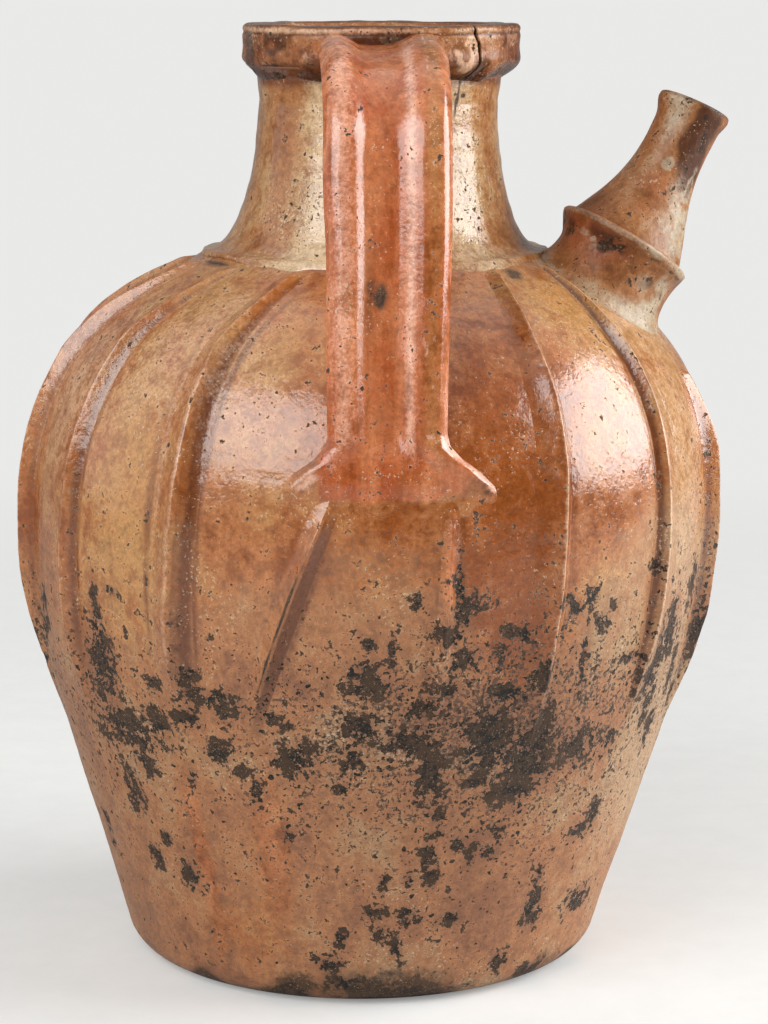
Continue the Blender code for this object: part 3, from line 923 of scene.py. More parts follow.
def padded(marks: Marks, shape: tuple[int, int], widths: tuple, plain: Marks | None) -> Marks:
    """Marks of an outer grid carried on over the rows or columns put beside it.

    Args:
        marks: Marks on the outer grid.
        shape: Its rows and columns.
        widths: Rows put before and after, then columns put before and after.
        plain: Marks of what is put there, or None to go on with the nearest ones.

    Returns:
        Marks on the widened grid.
    """
    widened = {}
    for mark, values in marks.items():
        fill = {"mode": "edge"} if plain is None else {"constant_values": plain.get(mark, 0.0)}
        widened[mark] = np.pad(np.broadcast_to(values, shape), widths, **fill)
    return widened


@dataclass
class Maker(ABC):
    """What makes finished pieces on the pot."""

    form: PotForm
    clay: Clay

    @abstractmethod
    def skins(self) -> Skins:
        """Each piece's name, material slot, CAD node and surface."""

    def build(self, material: Material) -> list[Object]:
        """Make the pieces, riding on the pitcher in place of their CAD nodes.

        Args:
            material: Their finish.

        Returns:
            The pieces.
        """
        pieces = []
        for name, slot, node, skin in self.skins():
            piece = make_piece(name, skin, material)
            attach(piece, BODY)
            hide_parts(node)
            pieces.append(piece)
        return pieces


@dataclass
class Body(Maker):
    """Thrown body: outer wall, foot, shoulder, and the inside seen down the neck."""

    marks: MarkMap
    columns: int = 440
    wall_rows: int = 190
    flake_depth: float = 0.30 * MM
    foot_round: float = 0.0130
    floor_round: float = 0.0180
    base_rings: tuple[float, ...] = (0.30, 0.65, 0.90)

    def rows(self) -> tuple[Array, Array, Array]:
        """Section of the outer side with closer rows in the flaked band.

        Returns:
            Points (radius, height), their normals, and the distance along.
        """
        form = self.form
        line = form.body_line()
        arc = rounded_corner((0.0, 0.0), (form.foot_radius, 0.0), line[3], self.foot_round, 14)
        line = np.concatenate([arc, line[line[:, 1] > arc[-1, 1] + 0.001]])
        length = arc_length(line)
        fine = np.linspace(0, length[-1], 400)
        spacing = 1.9 - 0.75 * hump(np.interp(fine, length, line[:, 1]), 0.112, 0.06)
        spread = np.concatenate([[0.0], np.cumsum(1.0 / spacing[1:])])
        spots = np.interp(np.linspace(0, spread[-1], self.wall_rows), spread, fine)
        points = along(line, spots)
        return points, side_normals(points), spots

    def lining(self) -> Array:
        """Section of the inside, from the shoulder's top down to the floor.

        Returns:
            Points (radius, height).
        """
        form = self.form
        inner = form.body_line()
        inner = inner - side_normals(inner) * form.wall
        inner = inner[(inner[:, 1] > 0.034) & (inner[:, 1] < form.neck_foot_height - 0.001)]
        inner = evenly(inner, 15)[::-1]
        corner = (inner[-1][0] - 0.004, form.floor)
        bowl = rounded_corner((0.0, form.floor), corner, inner[-1], self.floor_round, 4)[::-1]
        top = [(form.shoulder_bore_radius, form.neck_foot_height)]
        return np.concatenate([top, inner, bowl, [(0.030, form.floor)]])

    def skin(self) -> Skin:
        """Outer wall pushed out by its unevenness and in by its flakes, then the inside.

        Returns:
            The closed surface, its poles at the middles of the base and the floor.
        """
        form = self.form
        line, normal, arc = self.rows()
        spots = Spots(full_turn(self.columns), line[:, :1], line[:, 1:])
        marks = self.marks.body(spots, arc[:, None])
        sunk = self.flake_depth * eased((marks[Mark.SCAR] - FLAKE_START) / FLAKE_EASE)
        out = self.clay.unevenness(spots) - sunk
        out = out * eased(spots.height / 0.010) * eased((form.neck_foot_height - spots.height) / 0.004)
        outer = spots.pushed(normal, out)
        base = np.array([(share * line[0, 0], 0.0) for share in self.base_rings])
        lining = self.lining()
        grid = np.concatenate([
            round_points(spots.azimuth, base[:, :1], base[:, 1:]),
            outer,
            round_points(spots.azimuth, lining[:, :1], lining[:, 1:]),
        ])
        marks = padded(marks, outer.shape[:2], ((len(base), len(lining)), (0, 0)), GLAZED_INSIDE)
        return Skin(form.leaned(grid), marks, start_pole=True, end_pole=True)

    def skins(self) -> Skins:
        """The body alone."""
        yield "pot_body", Slot.BODY, "body", self.skin()


@dataclass
class Ribs(Maker):
    """Sixteen applied ribs, each a strip laid on the body with concave flanks."""

    marks: MarkMap
    sharpness: float = 1.5
    crest_round: float = 0.07
    tuck: float = 0.12 * MM
    under: float = 1.2 * MM
    flake_depth: float = 0.30 * MM
    across: int = 37
    rows: int = 210
    overlap: float = 1.10

    def profile(self, share: Array) -> Array:
        """Height across a rib: (1 - m) to the power of its sharpness, m from crest to edge.

        Args:
            share: Distance from the crest in shares of the reach.

        Returns:
            Heights, 1 at the rounded crest and 0 from the edge on.
        """
        soft = math.hypot(1.0, self.crest_round) - self.crest_round
        from_crest = (np.hypot(share, self.crest_round) - self.crest_round) / soft
        return np.clip(1.0 - from_crest, 0.0, 1.0) ** self.sharpness

    def skin(self, number: int) -> Skin:
        """One rib laid along its line on the body, its back sunk into the wall.

        Args:
            number: Rib, counted from 0.

        Returns:
            Its closed surface.
        """
        form, layout = self.form, self.marks.layout
        cut = layout.cut(number)
        line = form.body_line()
        length = arc_length(line)
        low = np.interp(cut.low_end - 0.006, line[:, 1], length)
        top_height = min(layout.top(number) + 0.001, form.neck_foot_height)
        arc = np.linspace(low, np.interp(top_height, line[:, 1], length), self.rows)
        row_line = along(line, arc)
        normal = np.stack([np.interp(arc, length, n) for n in side_normals(line).T], axis=1)
        radius, height = row_line[:, :1], row_line[:, 1:]
        share = np.linspace(-1.0, 1.0, self.across)
        share = np.sign(share) * np.abs(share) ** 1.3 * self.overlap
        toward = share * layout.handle_side(number)
        middle = layout.azimuth(number, height)
        place = round_points(middle, radius, height)
        sway = 0.07 * lumps(place, 23, 40 + number) + 0.03 * lumps(place, 8, 80 + number)
        reach = np.where(toward > 0.0, cut.near, cut.far)
        spots = Spots(middle + (share + sway) * reach / form.belly_radius, radius, height)
        strength = layout.strength(number, height)
        uneven = 1.0 + 0.12 * lumps(place, 15, 60 + number)
        marks = self.marks.body(spots, arc[:, None])
        sunk = self.flake_depth * eased((marks[Mark.SCAR] - FLAKE_START) / FLAKE_EASE)
        out = self.clay.unevenness(spots) - self.tuck - sunk
        out = out + cut.relief * strength * uneven * self.profile(share)
        front = spots.pushed(normal, out)
        back = Spots(spots.azimuth[:, ::-1][:, ::4], radius, height).pushed(normal, -self.under)
        marks = self.dress(cut, marks, toward, strength, height, place)
        marks = padded(marks, front.shape[:2], ((0, 0), (0, back.shape[1])), {})
        grid = np.concatenate([front, back], axis=1)
        return Skin(form.leaned(grid), marks, start_pole=True, end_pole=True)

    def dress(
        self, cut: RibCut, marks: Marks, toward: Array, strength: Array, height: Array, place: Array
    ) -> Marks:
        """Marks of the wall below a rib, with its own flanks of pooled glaze and painted shade, and its worn
        crest.

        Args:
            cut: The rib's cross shape and glaze.
            marks: Marks of the wall there.
            toward: Distance from the crest toward the handle, in shares of the reach.
            strength: How strong the rib is at each row.
            height: Heights of the rows.
            place: Places of the crest.

        Returns:
            The rib's marks.
        """
        # The flank toward the handle is pooled glaze and painted shade, and crisp lays more painted shade
        # along it
        flank = np.where(toward > 0.0, hump(toward, 0.66, 0.36) * cut.pool, 0.55 * hump(toward, -1.0, 0.12))
        crisp = cut.crisp * eased((toward - 0.08) / 0.14) * eased((0.98 - toward) / 0.16)
        beside = 0.55 * marks[Mark.POOL_AND_SHADE] * (np.abs(toward) > 0.9)
        flank = np.maximum(np.maximum(flank, crisp), beside)
        crest = hump(toward, -0.06, 0.13) * strength
        seam = cut.seam * hump(toward, -0.06, 0.11) * strength * eased((0.186 - height) / 0.02)
        return marks | {
            Mark.POOL_AND_SHADE: flank * np.sqrt(strength),
            Mark.WEAR_AND_SHEEN: np.maximum(marks[Mark.WEAR_AND_SHEEN], cut.crest * crest),
            Mark.GRIT: marks[Mark.GRIT] + 0.10 * hump(toward, 0.5, 0.4),
            Mark.BLUSH: marks[Mark.BLUSH] + cut.warm * hump(toward, 0.0, 0.45) * strength,
            Mark.SOOT_AND_SHADE: marks[Mark.SOOT_AND_SHADE] + seam * (0.7 + 0.5 * lumps(place, 9, 130)),
        }

    def skins(self) -> Skins:
        """Every rib for its own node."""
        for number in range(self.marks.layout.count):
            yield f"rib_strip_{number + 1:02d}", Slot.RIBS, f"rib_{number + 1:02d}", self.skin(number)


@dataclass
class Neck(Maker):
    """Neck luted to the shoulder: waisted outside, a bore inside, its foot smeared down."""

    columns: int = 360
    foot_rows: int = 12
    outer_rows: int = 96
    inner_rows: int = 26
    stand: float = 0.9 * MM
    sink: float = 0.35 * MM
    groove_pitch: float = 9.0 * MM
    thumb_pitch: float = 8.0 * MM

    def foot(self, azimuth: Array) -> tuple[Array, Array]:
        """Smear of clay from the neck down over the shoulder, uneven in reach and thickness.

        Args:
            azimuth: Angles round the pot.

        Returns:
            Heights and distances out from the pot, rows by angles.
        """
        form = self.form
        ring = round_points(azimuth, form.neck_foot_radius, np.array([[form.neck_foot_height]]))
        crisp = bell_round(azimuth, -60.0, 0.30)
        reach = 3.4 * MM + 2.2 * MM * lumps(ring, 17, 71) + 0.9 * MM * lumps(ring, 6, 72)
        reach = np.maximum(reach * (1.0 - 0.75 * crisp), 0.7 * MM)
        share = np.linspace(0.0, 1.0, self.foot_rows)[:, None]
        height = form.neck_foot_height - reach * math.sin(form.shoulder_top_slope) * (1.0 - share)
        thick = self.stand * (1.0 + 0.8 * crisp) + 0.35 * MM * lumps(ring, 9, 77)
        return height, -self.sink + (thick + self.sink) * share ** (0.55 - 0.25 * crisp)

    def bore(self, line: Array, azimuth: Array) -> Array:
        """Inside from the top down and out under the foot, marked by the thumb.

        Args:
            line: Outline of the neck.
            azimuth: Angles round the pot.

        Returns:
            Places, rows by angles.
        """
        form = self.form
        bore = line - side_normals(line) * form.neck_wall
        bore = bore[(bore[:, 1] > form.neck_foot_height) & (bore[:, 0] < form.shoulder_bore_radius)]
        seat = [
            (form.shoulder_bore_radius, form.neck_foot_height - 0.0002),
            (form.neck_foot_radius - 0.002, form.neck_foot_height - 0.0010),
        ]
        lining = np.concatenate([evenly(bore, self.inner_rows)[::-1], seat])
        radius, height = lining[:, :1], lining[:, 1:]
        rings = 0.12 * MM * np.sin(math.tau * height / self.thumb_pitch)
        thumbed = rings + 0.15 * MM * lumps(round_points(azimuth, radius, height), 20, 74)
        return round_points(azimuth, radius + thumbed, height)

    def skin(self) -> Skin:
        """Foot, waisted outside, top tucked under the band, and the bore back down.

        Returns:
            The closed surface.
        """
        form = self.form
        azimuth = full_turn(self.columns)
        foot_height, foot_out = self.foot(azimuth)
        tucked = [[form.lip_foot_radius + 0.001, form.lip_foot_height + 0.004]]
        line = np.concatenate([form.neck_line()[:-1], tucked])
        level = evenly(line, self.outer_rows)[1:, 1:]
        rise = (level - form.neck_foot_height) / (form.lip_foot_height - form.neck_foot_height)
        height = np.concatenate([foot_height, np.broadcast_to(level, (len(level), self.columns))])
        spots = Spots(azimuth, form.radius_at(height), height)
        place = spots.place()
        turned = self.clay.unevenness(spots)
        grooves = np.sin(math.tau * (height + 1.2 * MM * lumps(place, 30, 73)) / self.groove_pitch)
        above = slice(self.foot_rows, None)
        out = turned * eased((form.neck_foot_height - height) / 0.004)
        out[above] = turned[above] * eased(rise * 8.0)
        out = out + np.concatenate([foot_out, foot_out[-1] * np.exp(-rise * 9.0)])
        out = out + 0.25 * MM * lumps(place, 13, 78)
        out[above] += 0.06 * MM * grooves[above] * eased(rise * 4.0)
        outer = form.on_pot(azimuth, height, out)
        inside = self.bore(line, azimuth)
        marks = padded(self.dress(spots), outer.shape[:2], ((0, len(inside)), (0, 0)), GLAZED_INSIDE)
        return Skin(form.leaned(np.concatenate([outer, inside])), marks, wrap_along=True)

    def dress(self, spots: Spots) -> Marks:
        """Marks of the neck's outside: amber and olive fields, a painted highlight on the olive ones, pits,
        dirt below the crack, painted shade under the band.

        Args:
            spots: Spots of the grid.

        Returns:
            One array for each mark.
        """
        height, place = spots.height, spots.place()
        joint = self.form.lip_foot_height
        turn = np.degrees(turn_between(spots.azimuth, 0.0))
        amber = hump(turn, -52.0, 14.0) + 0.8 * hump(turn, 66.0, 16.0)
        olive = hump(turn, -24.0, 15.0) + 0.6 * hump(turn, 36.0, 14.0)
        pitted = hump(height, 0.284, 0.014) * hump(turn, -36.0, 16.0)
        pitted = pitted + 0.7 * hump(turn, 40.0, 10.0) * hump(height, 0.290, 0.03)
        crack = hump(turn, 37.5 + 160.0 * (height - 0.3300), 0.8) * eased((height - 0.3150) / 0.003)
        dirty = hump(turn, 40.0, 4.5) * hump(height, joint - 0.0060, 0.0045)
        dirty = dirty * eased(0.35 + 1.6 * lumps(place, 2.6, 69))
        streaked = 0.5 + 0.5 * lumps(place * (1.0, 1.0, 0.2), 7, 70)
        return {
            Mark.GLAZE: 1.0,
            Mark.TONE: 0.56 - 0.16 * amber + 0.42 * olive + 0.16 * lumps(place * (1.0, 1.0, 0.4), 20, 75),
            Mark.BLUSH: 0.02 + 0.12 * lumps(place, 24, 79),
            Mark.GRIT: 0.07 + 0.42 * pitted,
            # Darkening at the neck's top, under the band, is painted shade, here and at the end of the soot
            Mark.POOL_AND_SHADE: 0.95 * eased((height - joint + 0.006) / 0.006) + 0.25 * amber * streaked,
            # On the olive fields the wear is a painted highlight
            Mark.WEAR_AND_SHEEN: 0.70 * olive + 0.10 * hump(height, 0.2670, 0.0035),
            Mark.SOOT_AND_SHADE: 0.9 * crack + 0.95 * dirty + 0.35 * eased((height - joint + 0.003) / 0.003),
        }

    def skins(self) -> Skins:
        """The neck alone."""
        yield "pot_neck", Slot.NECK, "neck", self.skin()


@dataclass
class RimBand(Maker):
    """Flattened band round the mouth, with a crack through it near the spout's side."""

    columns: int = 520
    rows: int = 84
    edge_round: float = 0.0021
    low_round: float = 0.0038
    bore_round: float = 0.0025
    crack_at: float = math.radians(40.0)
    crack_levels: tuple[float, ...] = (0.3215, 0.3335, 0.3365, 0.3400, 0.3435, 0.3460, 0.3500)
    crack_degrees: tuple[float, ...] = (36.5, 39.8, 41.2, 41.0, 40.6, 38.4, 38.0)
    crack_half_width: float = 0.80 * MM
    crack_depth: float = 2.0 * MM
    sideways: float = 0.8 * MM

    def crack_azimuth(self, height: Array) -> Array:
        """Angle of the crack at heights: it steps to and fro as it runs down the band."""
        return np.interp(height, self.crack_levels, np.radians(self.crack_degrees))

    def section(self) -> Array:
        """Closed section of the band, up its outer side first.

        Returns:
            Points (radius, height).
        """
        form = self.form
        foot, top, outer, bore = form.lip_foot_height, form.rim_height, form.lip_radius, form.bore_radius
        hidden = [(form.lip_foot_radius - 0.0025, foot - 0.0012), (form.lip_foot_radius, foot - 0.0006)]
        start = (form.lip_foot_radius, foot)
        low = rounded_corner(start, (outer, foot + 0.005), (outer, 1.0), self.low_round, 12)
        high = rounded_corner((outer, foot), (outer, top), (bore, top), self.edge_round, 12)
        inner = rounded_corner((outer, top), (bore, top), (bore, foot), self.bore_round, 8)
        return evenly(np.concatenate([hidden, low, high, inner, [(bore, foot - 0.0005)]]), self.rows)

    def skin(self) -> Skin:
        """Section turned round the mouth, its lower edge wavy, split by the crack.

        Columns are drawn together at the crack, so that its edges come out sharp.

        Returns:
            The closed surface.
        """
        form = self.form
        foot, top = form.lip_foot_height, form.rim_height
        row_line = self.section()
        radius, height = row_line[:, :1], row_line[:, 1:]
        pull = turn_between(full_turn(self.columns), self.crack_at)
        azimuth = self.crack_at + pull - 0.93 * np.sin(pull) * hump(pull, 0.0, 0.30)
        azimuth = azimuth + (self.crack_azimuth(height) - self.crack_at) * hump(pull, 0.0, 0.25)
        spots = Spots(azimuth, radius, height)
        place = spots.place()
        flat = place * (1.0, 1.0, 0.0)
        outside = eased((radius - form.bore_radius - 0.004) / 0.004)
        out = 0.6 * self.clay.unevenness(spots)
        out = out + outside * (0.48 * MM * lumps(place, 13, 81) + 0.24 * MM * lumps(place, 6.0, 82))
        bead = -0.45 * MM * hump(height, top - 0.0030, 0.0008) * outside
        waist = -0.5 * MM * hump(height, top - 0.0085, 0.0035) * outside
        off_crack = turn_between(azimuth, self.crack_azimuth(height)) * radius
        opening = self.crack_half_width * (0.8 + 0.45 * lumps(place, 2.2, 85))
        crack = np.clip(1.0 - np.abs(off_crack) / opening, 0.0, 1.0) * eased((height - foot) / 0.002)
        out = out + bead + waist - self.crack_depth * np.sqrt(crack) * (0.25 + 0.75 * outside)
        wave = hump(height, foot + 0.001, 0.0045) * outside
        wave = wave * (1.5 * MM * lumps(flat, 17, 83) + 0.9 * MM * lumps(flat, 6, 84))
        top_wave = 0.10 * MM * lumps(flat, 30, 86) - 0.10 * MM
        lift = wave + top_wave * eased((height - top + 0.006) / 0.006)
        grid = spots.pushed(side_normals(row_line), out)
        grid[..., 0] += self.sideways * eased((height - foot) / 0.004)
        grid[..., 2] = np.minimum(grid[..., 2] + lift, top)
        return Skin(form.leaned(grid), self.dress(spots, crack, outside), wrap_along=True)

    def dress(self, spots: Spots, crack: Array, outside: Array) -> Marks:
        """Marks of the band: dark blotches to the left, a painted highlight along the top edge, soot in
        the crack, painted glints beside it, and painted shade under the band and between the handle's ears.

        Args:
            spots: Spots of the grid.
            crack: Depth of the crack from 0 to 1.
            outside: 1 on the outer side, 0 in the bore.

        Returns:
            One array for each mark.
        """
        foot, top = self.form.lip_foot_height, self.form.rim_height
        height, place = spots.height, spots.place()
        turn = np.degrees(turn_between(spots.azimuth, 0.0))
        left, near_spout = hump(turn, -62.0, 22.0), hump(turn, 60.0, 26.0)
        face = outside * eased((top - 0.0030 - height) / 0.001)
        # Painted shade on the band's underside
        under = hump(height, foot + 0.0005, 0.0026) * outside
        groove = hump(height, top - 0.0031, 0.0007) * outside
        # Painted highlight along the top edge
        edge = hump(height, top - 0.0019, 0.0010) * outside
        brim = hump(height, top, 0.0008)
        # Painted shadow on the lip face between the handle's ears
        between = hump(turn, 3.0, 11.0) * hump(height, 0.3450, 0.0030)
        # Painted glints beside the crack
        glints_beside_crack = hump(turn, 33.5, 4.5) * hump(height, foot + 0.0075, 0.0042)
        glints_beside_crack = glints_beside_crack + 0.8 * hump(turn, 32.0, 3.5) * hump(height, foot + 0.0138, 0.0022)
        painted_glints = glints_beside_crack * face * eased(0.45 + 1.6 * lumps(place, 2.4, 96))
        blotch = eased(0.5 + 1.7 * lumps(place, 8, 87) + 0.6 * lumps(place, 3.5, 88))
        scuffed = face * (1.0 - blotch) * eased(lumps(place, 5, 94) * 2.0 + 0.3)
        sooty = eased(0.25 + 0.9 * lumps(place, 5.5, 93) + 0.6 * lumps(place, 2.3, 95))
        return {
            Mark.GLAZE: 1.0,
            Mark.TONE: 0.55 - 0.25 * left - 0.22 * near_spout + 0.25 * lumps(place, 12, 89),
            Mark.BLUSH: 0.15 + 0.20 * lumps(place, 10, 91),
            Mark.POOL_AND_SHADE: face * blotch * (0.50 + 0.45 * left + 0.32 * near_spout)
            + 0.9 * under + 1.3 * between + 0.7 * groove + 0.7 * brim,
            Mark.WEAR_AND_SHEEN: (0.40 + 0.65 * hump(turn, -38.0, 34.0)) * edge + 0.30 * scuffed + 2.0 * painted_glints,
            Mark.GRIT: 0.14 + 0.12 * lumps(place, 25, 90),
            Mark.SOOT_AND_SHADE: 2.5 * eased((crack - 0.02) / 0.15)
            + 0.45 * under * eased(0.5 + 2.0 * lumps(place, 6, 92))
            + 0.60 * between + 0.75 * face * sooty * (0.25 + 0.75 * left),
        }

    def skins(self) -> Skins:
        """The band alone."""
        yield "rim_lip", Slot.RIM, "rim_band", self.skin()


# Section of the strap's front from edge to edge: places across from -1 to 1, depths in mm.
STRAP_PLACES = (
    -1.0, -0.95, -0.87, -0.78, -0.70, -0.60, -0.52, -0.45, -0.38, -0.31, -0.20,
    0.12, 0.21, 0.27, 0.46, 0.54, 0.66, 0.78, 0.87, 0.94, 1.0,
)
STRAP_DEPTHS = (
    4.8, 2.5, 0.9, 0.15, 0.0, 0.25, 0.9, 1.9, 3.0, 3.6, 3.9,
    3.9, 3.6, 3.0, 0.75, 0.15, 0.0, 0.15, 0.8, 2.3, 4.8,
)


@dataclass(frozen=True)
class Strap:
    """Rows of the strap: half width, distance from the axis, height, spread into the foot.

    Outward is square to the path, sway a shift to the side, and spread a swell of the width.
    """

    half: Array
    reach: Array
    height: Array
    flare: Array
    outward: Array
    sway: Array
    spread: Array

    def sideways(self, share: Array) -> Array:
        """Distances to the side for places across from -1 to 1."""
        return share * self.half * self.spread + self.sway

    def free(self, share: Array, out: Array) -> Array:
        """Places on the free strap: across along X, out along the path's normal.

        Args:
            share: Places across.
            out: Distances out from the middle line.

        Returns:
            Places, rows by places across.
        """
        back = -(self.reach + self.outward[:, :1] * out)
        parts = (self.sideways(share), back, self.height + self.outward[:, 1:] * out)
        return np.stack(np.broadcast_arrays(*parts), axis=-1)

    def smeared(self, form: PotForm, clay: Clay, share: Array, out: Array | float) -> Array:
        """Places over the pot: across as an angle, out along the pot's normal.

        Args:
            form: The pot's outline.
            clay: The pot's unevenness.
            share: Places across.
            out: Distances out from the pot.

        Returns:
            Places, rows by places across.
        """
        pot = form.radius_at(self.height)
        turn = self.sideways(share) / pot
        return form.on_pot(turn, self.height, out + clay.unevenness(Spots(turn, pot, self.height)))


@dataclass
class StrapHandle(Maker):
    """Pulled strap with two ridges, pressed onto the lip and smeared onto the belly."""

    top_width: float = 0.0462
    low_width: float = 0.0396
    foot_levels: tuple[float, ...] = (0.1860, 0.1920, 0.1970, 0.2025, 0.2065, 0.2110, 0.2170)
    foot_halves: tuple[float, ...] = (0.0420, 0.0410, 0.0375, 0.0315, 0.0255, 0.0212, 0.0198)
    thick: float = 0.0135
    edge_depth: float = 4.8 * MM
    top_drop: float = 0.0095
    top_pull: float = 0.0460
    reach: float = 0.1085
    bend_drop: float = 0.0340
    bend_pull: float = 0.0200
    splay: float = math.radians(10.0)
    straight_pull: float = 0.0450
    foot_height: float = 0.1990
    flare_length: float = 0.0180
    flare_from_reach: float = 0.095
    toe_length: float = 0.0120
    toe_pull: float = 0.0300
    side_shift: float = -1.9 * MM
    right_flank: float = 5.2 * MM
    left_flank: float = 8.0 * MM
    right_wing: float = 2.2 * MM
    left_wing: float = 0.6 * MM
    tuck: float = 0.35 * MM
    sink: float = 3.0 * MM
    rows: int = 240
    across: int = 96
    crowding: float = 1.35

    def path(self) -> Array:
        """Middle line of the strap, as two cubic stretches.

        Returns:
            Points (reach from the axis, height).
        """
        form = self.form
        start = np.array([form.bore_radius + 0.004, form.rim_height - self.top_drop])
        down = np.array([math.sin(self.splay), -math.cos(self.splay)])
        bend = np.array([self.reach, start[1] - self.bend_drop])
        toe_height = self.foot_height - self.toe_length
        toe = np.array([form.radius_at(toe_height) - self.thick / 2, toe_height])
        over = bezier(start, start + (self.top_pull, 0.0), bend - down * self.bend_pull, bend, 80)
        fall = bezier(bend, bend + down * self.straight_pull, toe + (0.0, self.toe_pull), toe, 120)
        return evenly(np.concatenate([over, fall[1:]]), self.rows)

    def front(self, share: Array, flare: Array) -> Array:
        """Depth of the front below its crests: a steep left ridge, a web, a flat right flank.

        The depths run smoothly through named places of the section, from edge to edge.

        Args:
            share: Place across, from -1 at the edge away from the spout to 1.
            flare: How far the strap has spread into its foot, where the web fills.

        Returns:
            Depths in metres, downward positive.
        """
        fine = np.linspace(-1.0, 1.0, 401)
        kernel = np.hanning(19) / np.hanning(19).sum()
        sharp = np.pad(np.interp(fine, STRAP_PLACES, STRAP_DEPTHS), len(kernel) // 2, mode="edge")
        curve = np.convolve(sharp, kernel, mode="valid")
        return (np.interp(share, fine, curve) * (1.0 - flare)) * MM

    def strap(self) -> Strap:
        """Rows of the strap, with a slow sway and swell to the sides.

        Returns:
            The rows.
        """
        path = self.path()
        run = np.gradient(path, axis=0)
        run /= np.linalg.norm(run, axis=1, keepdims=True)
        outward = np.stack([-run[:, 1], run[:, 0]], axis=1)
        reach, height = path[:, :1], path[:, 1:]
        gone = (arc_length(path) / arc_length(path)[-1])[:, None]
        flared = reach >= self.flare_from_reach
        flare = flared * eased(1.0 - (height - self.foot_height) / self.flare_length)
        width = self.top_width + gone * (self.low_width - self.top_width)
        spreading = 2.0 * np.interp(height, self.foot_levels, self.foot_halves)
        width = np.where(flared, np.maximum(width, spreading), width)
        still = np.zeros_like(height)
        sway = 0.5 * MM * lumps(np.stack([still, still, height], axis=-1), 34, 103)
        sway = sway + self.side_shift * (1.0 - 0.55 * gone)
        swell = 1.0 + 0.025 * lumps(np.stack([still, still + 1.0, height], axis=-1), 27, 104)
        return Strap(width / 2, reach, height, flare, outward, sway, swell)

    def foot_front(self, strap: Strap, share: Array, depth: Array) -> Array:
        """Height of the smeared foot over the pot: rounded brows that thin out to the wings.

        Args:
            strap: Rows of the strap.
            share: Places across.
            depth: Depth of the front there.

        Returns:
            Distances out from the pot.
        """
        height = strap.height
        toe = eased((self.foot_height - height) / self.toe_length)
        stand = strap.reach + self.thick / 2 - self.form.radius_at(height)
        stand = np.maximum(stand, 0.0) * (1.0 - toe)
        across = np.stack(np.broadcast_arrays(share * strap.half, 0.0, height), axis=-1)
        right = share > 0.0
        flank = np.where(right, self.right_flank, self.left_flank)
        from_edge = (1.0 - np.abs(share)) * strap.half / flank
        brow = np.sin(0.5 * math.pi * np.clip(from_edge, 0.0, 1.0))
        wing = eased((np.abs(share) - 0.45) / 0.4) * eased((height - 0.1935) / 0.006)
        wing = wing * np.where(right, self.right_wing, self.left_wing)
        over = stand - depth + 0.4 * MM * lumps(across, 9, 107) + wing
        return over * brow - self.tuck * (1.0 - brow * (1.0 - toe))

    def skin(self) -> Skin:
        """Strap section carried along its path, turning into a smear on the pot at its foot.

        Returns:
            The closed surface.
        """
        strap = self.strap()
        front_count = self.across * 2 // 3
        share = np.sin(np.linspace(-1.0, 1.0, front_count) * self.crowding) / math.sin(self.crowding)
        back_share = np.linspace(1.0, -1.0, self.across - front_count + 2)[1:-1]
        place = np.stack(np.broadcast_arrays(share * strap.half, -strap.reach, strap.height), axis=-1)
        pulled = 0.10 * MM * lumps(place * (1.0, 0.08, 0.08), 3.0, 101) + 0.25 * MM * lumps(place, 17, 102)
        depth = self.front(share, strap.flare) - pulled
        back_fall = np.abs(back_share) ** 3.0 * (self.thick - self.edge_depth) * 0.55
        sections = (
            (share, self.thick / 2 - depth, self.foot_front(strap, share, depth)),
            (back_share, -self.thick / 2 + back_fall, -self.sink),
        )
        fade = strap.flare[..., None]
        front, back = (
            strap.free(across, out) * (1 - fade) + strap.smeared(self.form, self.clay, across, low) * fade
            for across, out, low in sections
        )
        grid = np.concatenate([front, back], axis=1)
        plain = GLAZED_INSIDE | {Mark.BLUSH: 0.5}
        marks = padded(self.dress(strap, share, place), front.shape[:2], ((0, 0), (0, back.shape[1])), plain)
        return Skin(self.form.leaned(grid), marks, start_pole=True, end_pole=True)

    def dress(self, strap: Strap, share: Array, place: Array) -> Marks:
        """Marks of the strap's front: orange web, painted sheen on the ridges and right flank, an olive right
        ridge.

        Args:
            strap: Rows of the strap.
            share: Places across.
            place: Places of the grid.

        Returns:
            One array for each mark.
        """
        height, flare, free = strap.height, strap.flare, 1.0 - strap.flare
        across = share * strap.half
        hanging = strap.reach > 0.10
        streak = lumps(place * (1.0, 0.12, 0.12), 4.5, 105)
        ragged = lumps(place, 7, 108)
        crumbs = lumps(place, 2.6, 109)

        # The free strap: sunk web, two ridges, a burnt spot and a smudge on the web
        web = hump(share, -0.06, 0.24) * free
        right = hump(share, 0.72, 0.17) * free
        burn = hump(height, 0.2605, 0.0056) * hump(across, -2.6 * MM, 3.0 * MM) * hanging
        spot = hump(height, 0.2840, 0.0060) * hump(across, -1.0 * MM, 3.0 * MM) * hanging
        smudge = hump(height, 0.2610, 0.0140) * hump(across, -6.6 * MM, 2.2 * MM) * hanging
        # Painted sheen on the left ridge, the right flank and the right edge, where the glaze mirrors the
        # lamps
        worn_and_highlight = 0.55 * hump(share, -0.72, 0.20) + 0.80 * hump(share, 0.36, 0.09)
        worn_and_highlight = worn_and_highlight + 0.20 * hump(share, 0.95, 0.08)
        yellow = hump(share, 0.68, 0.12) * eased((lumps(place * (1.0, 0.4, 0.4), 1.3, 110) - 0.42) / 0.15)
        over_top = eased((0.085 - strap.reach) / 0.02) * (height > 0.3)

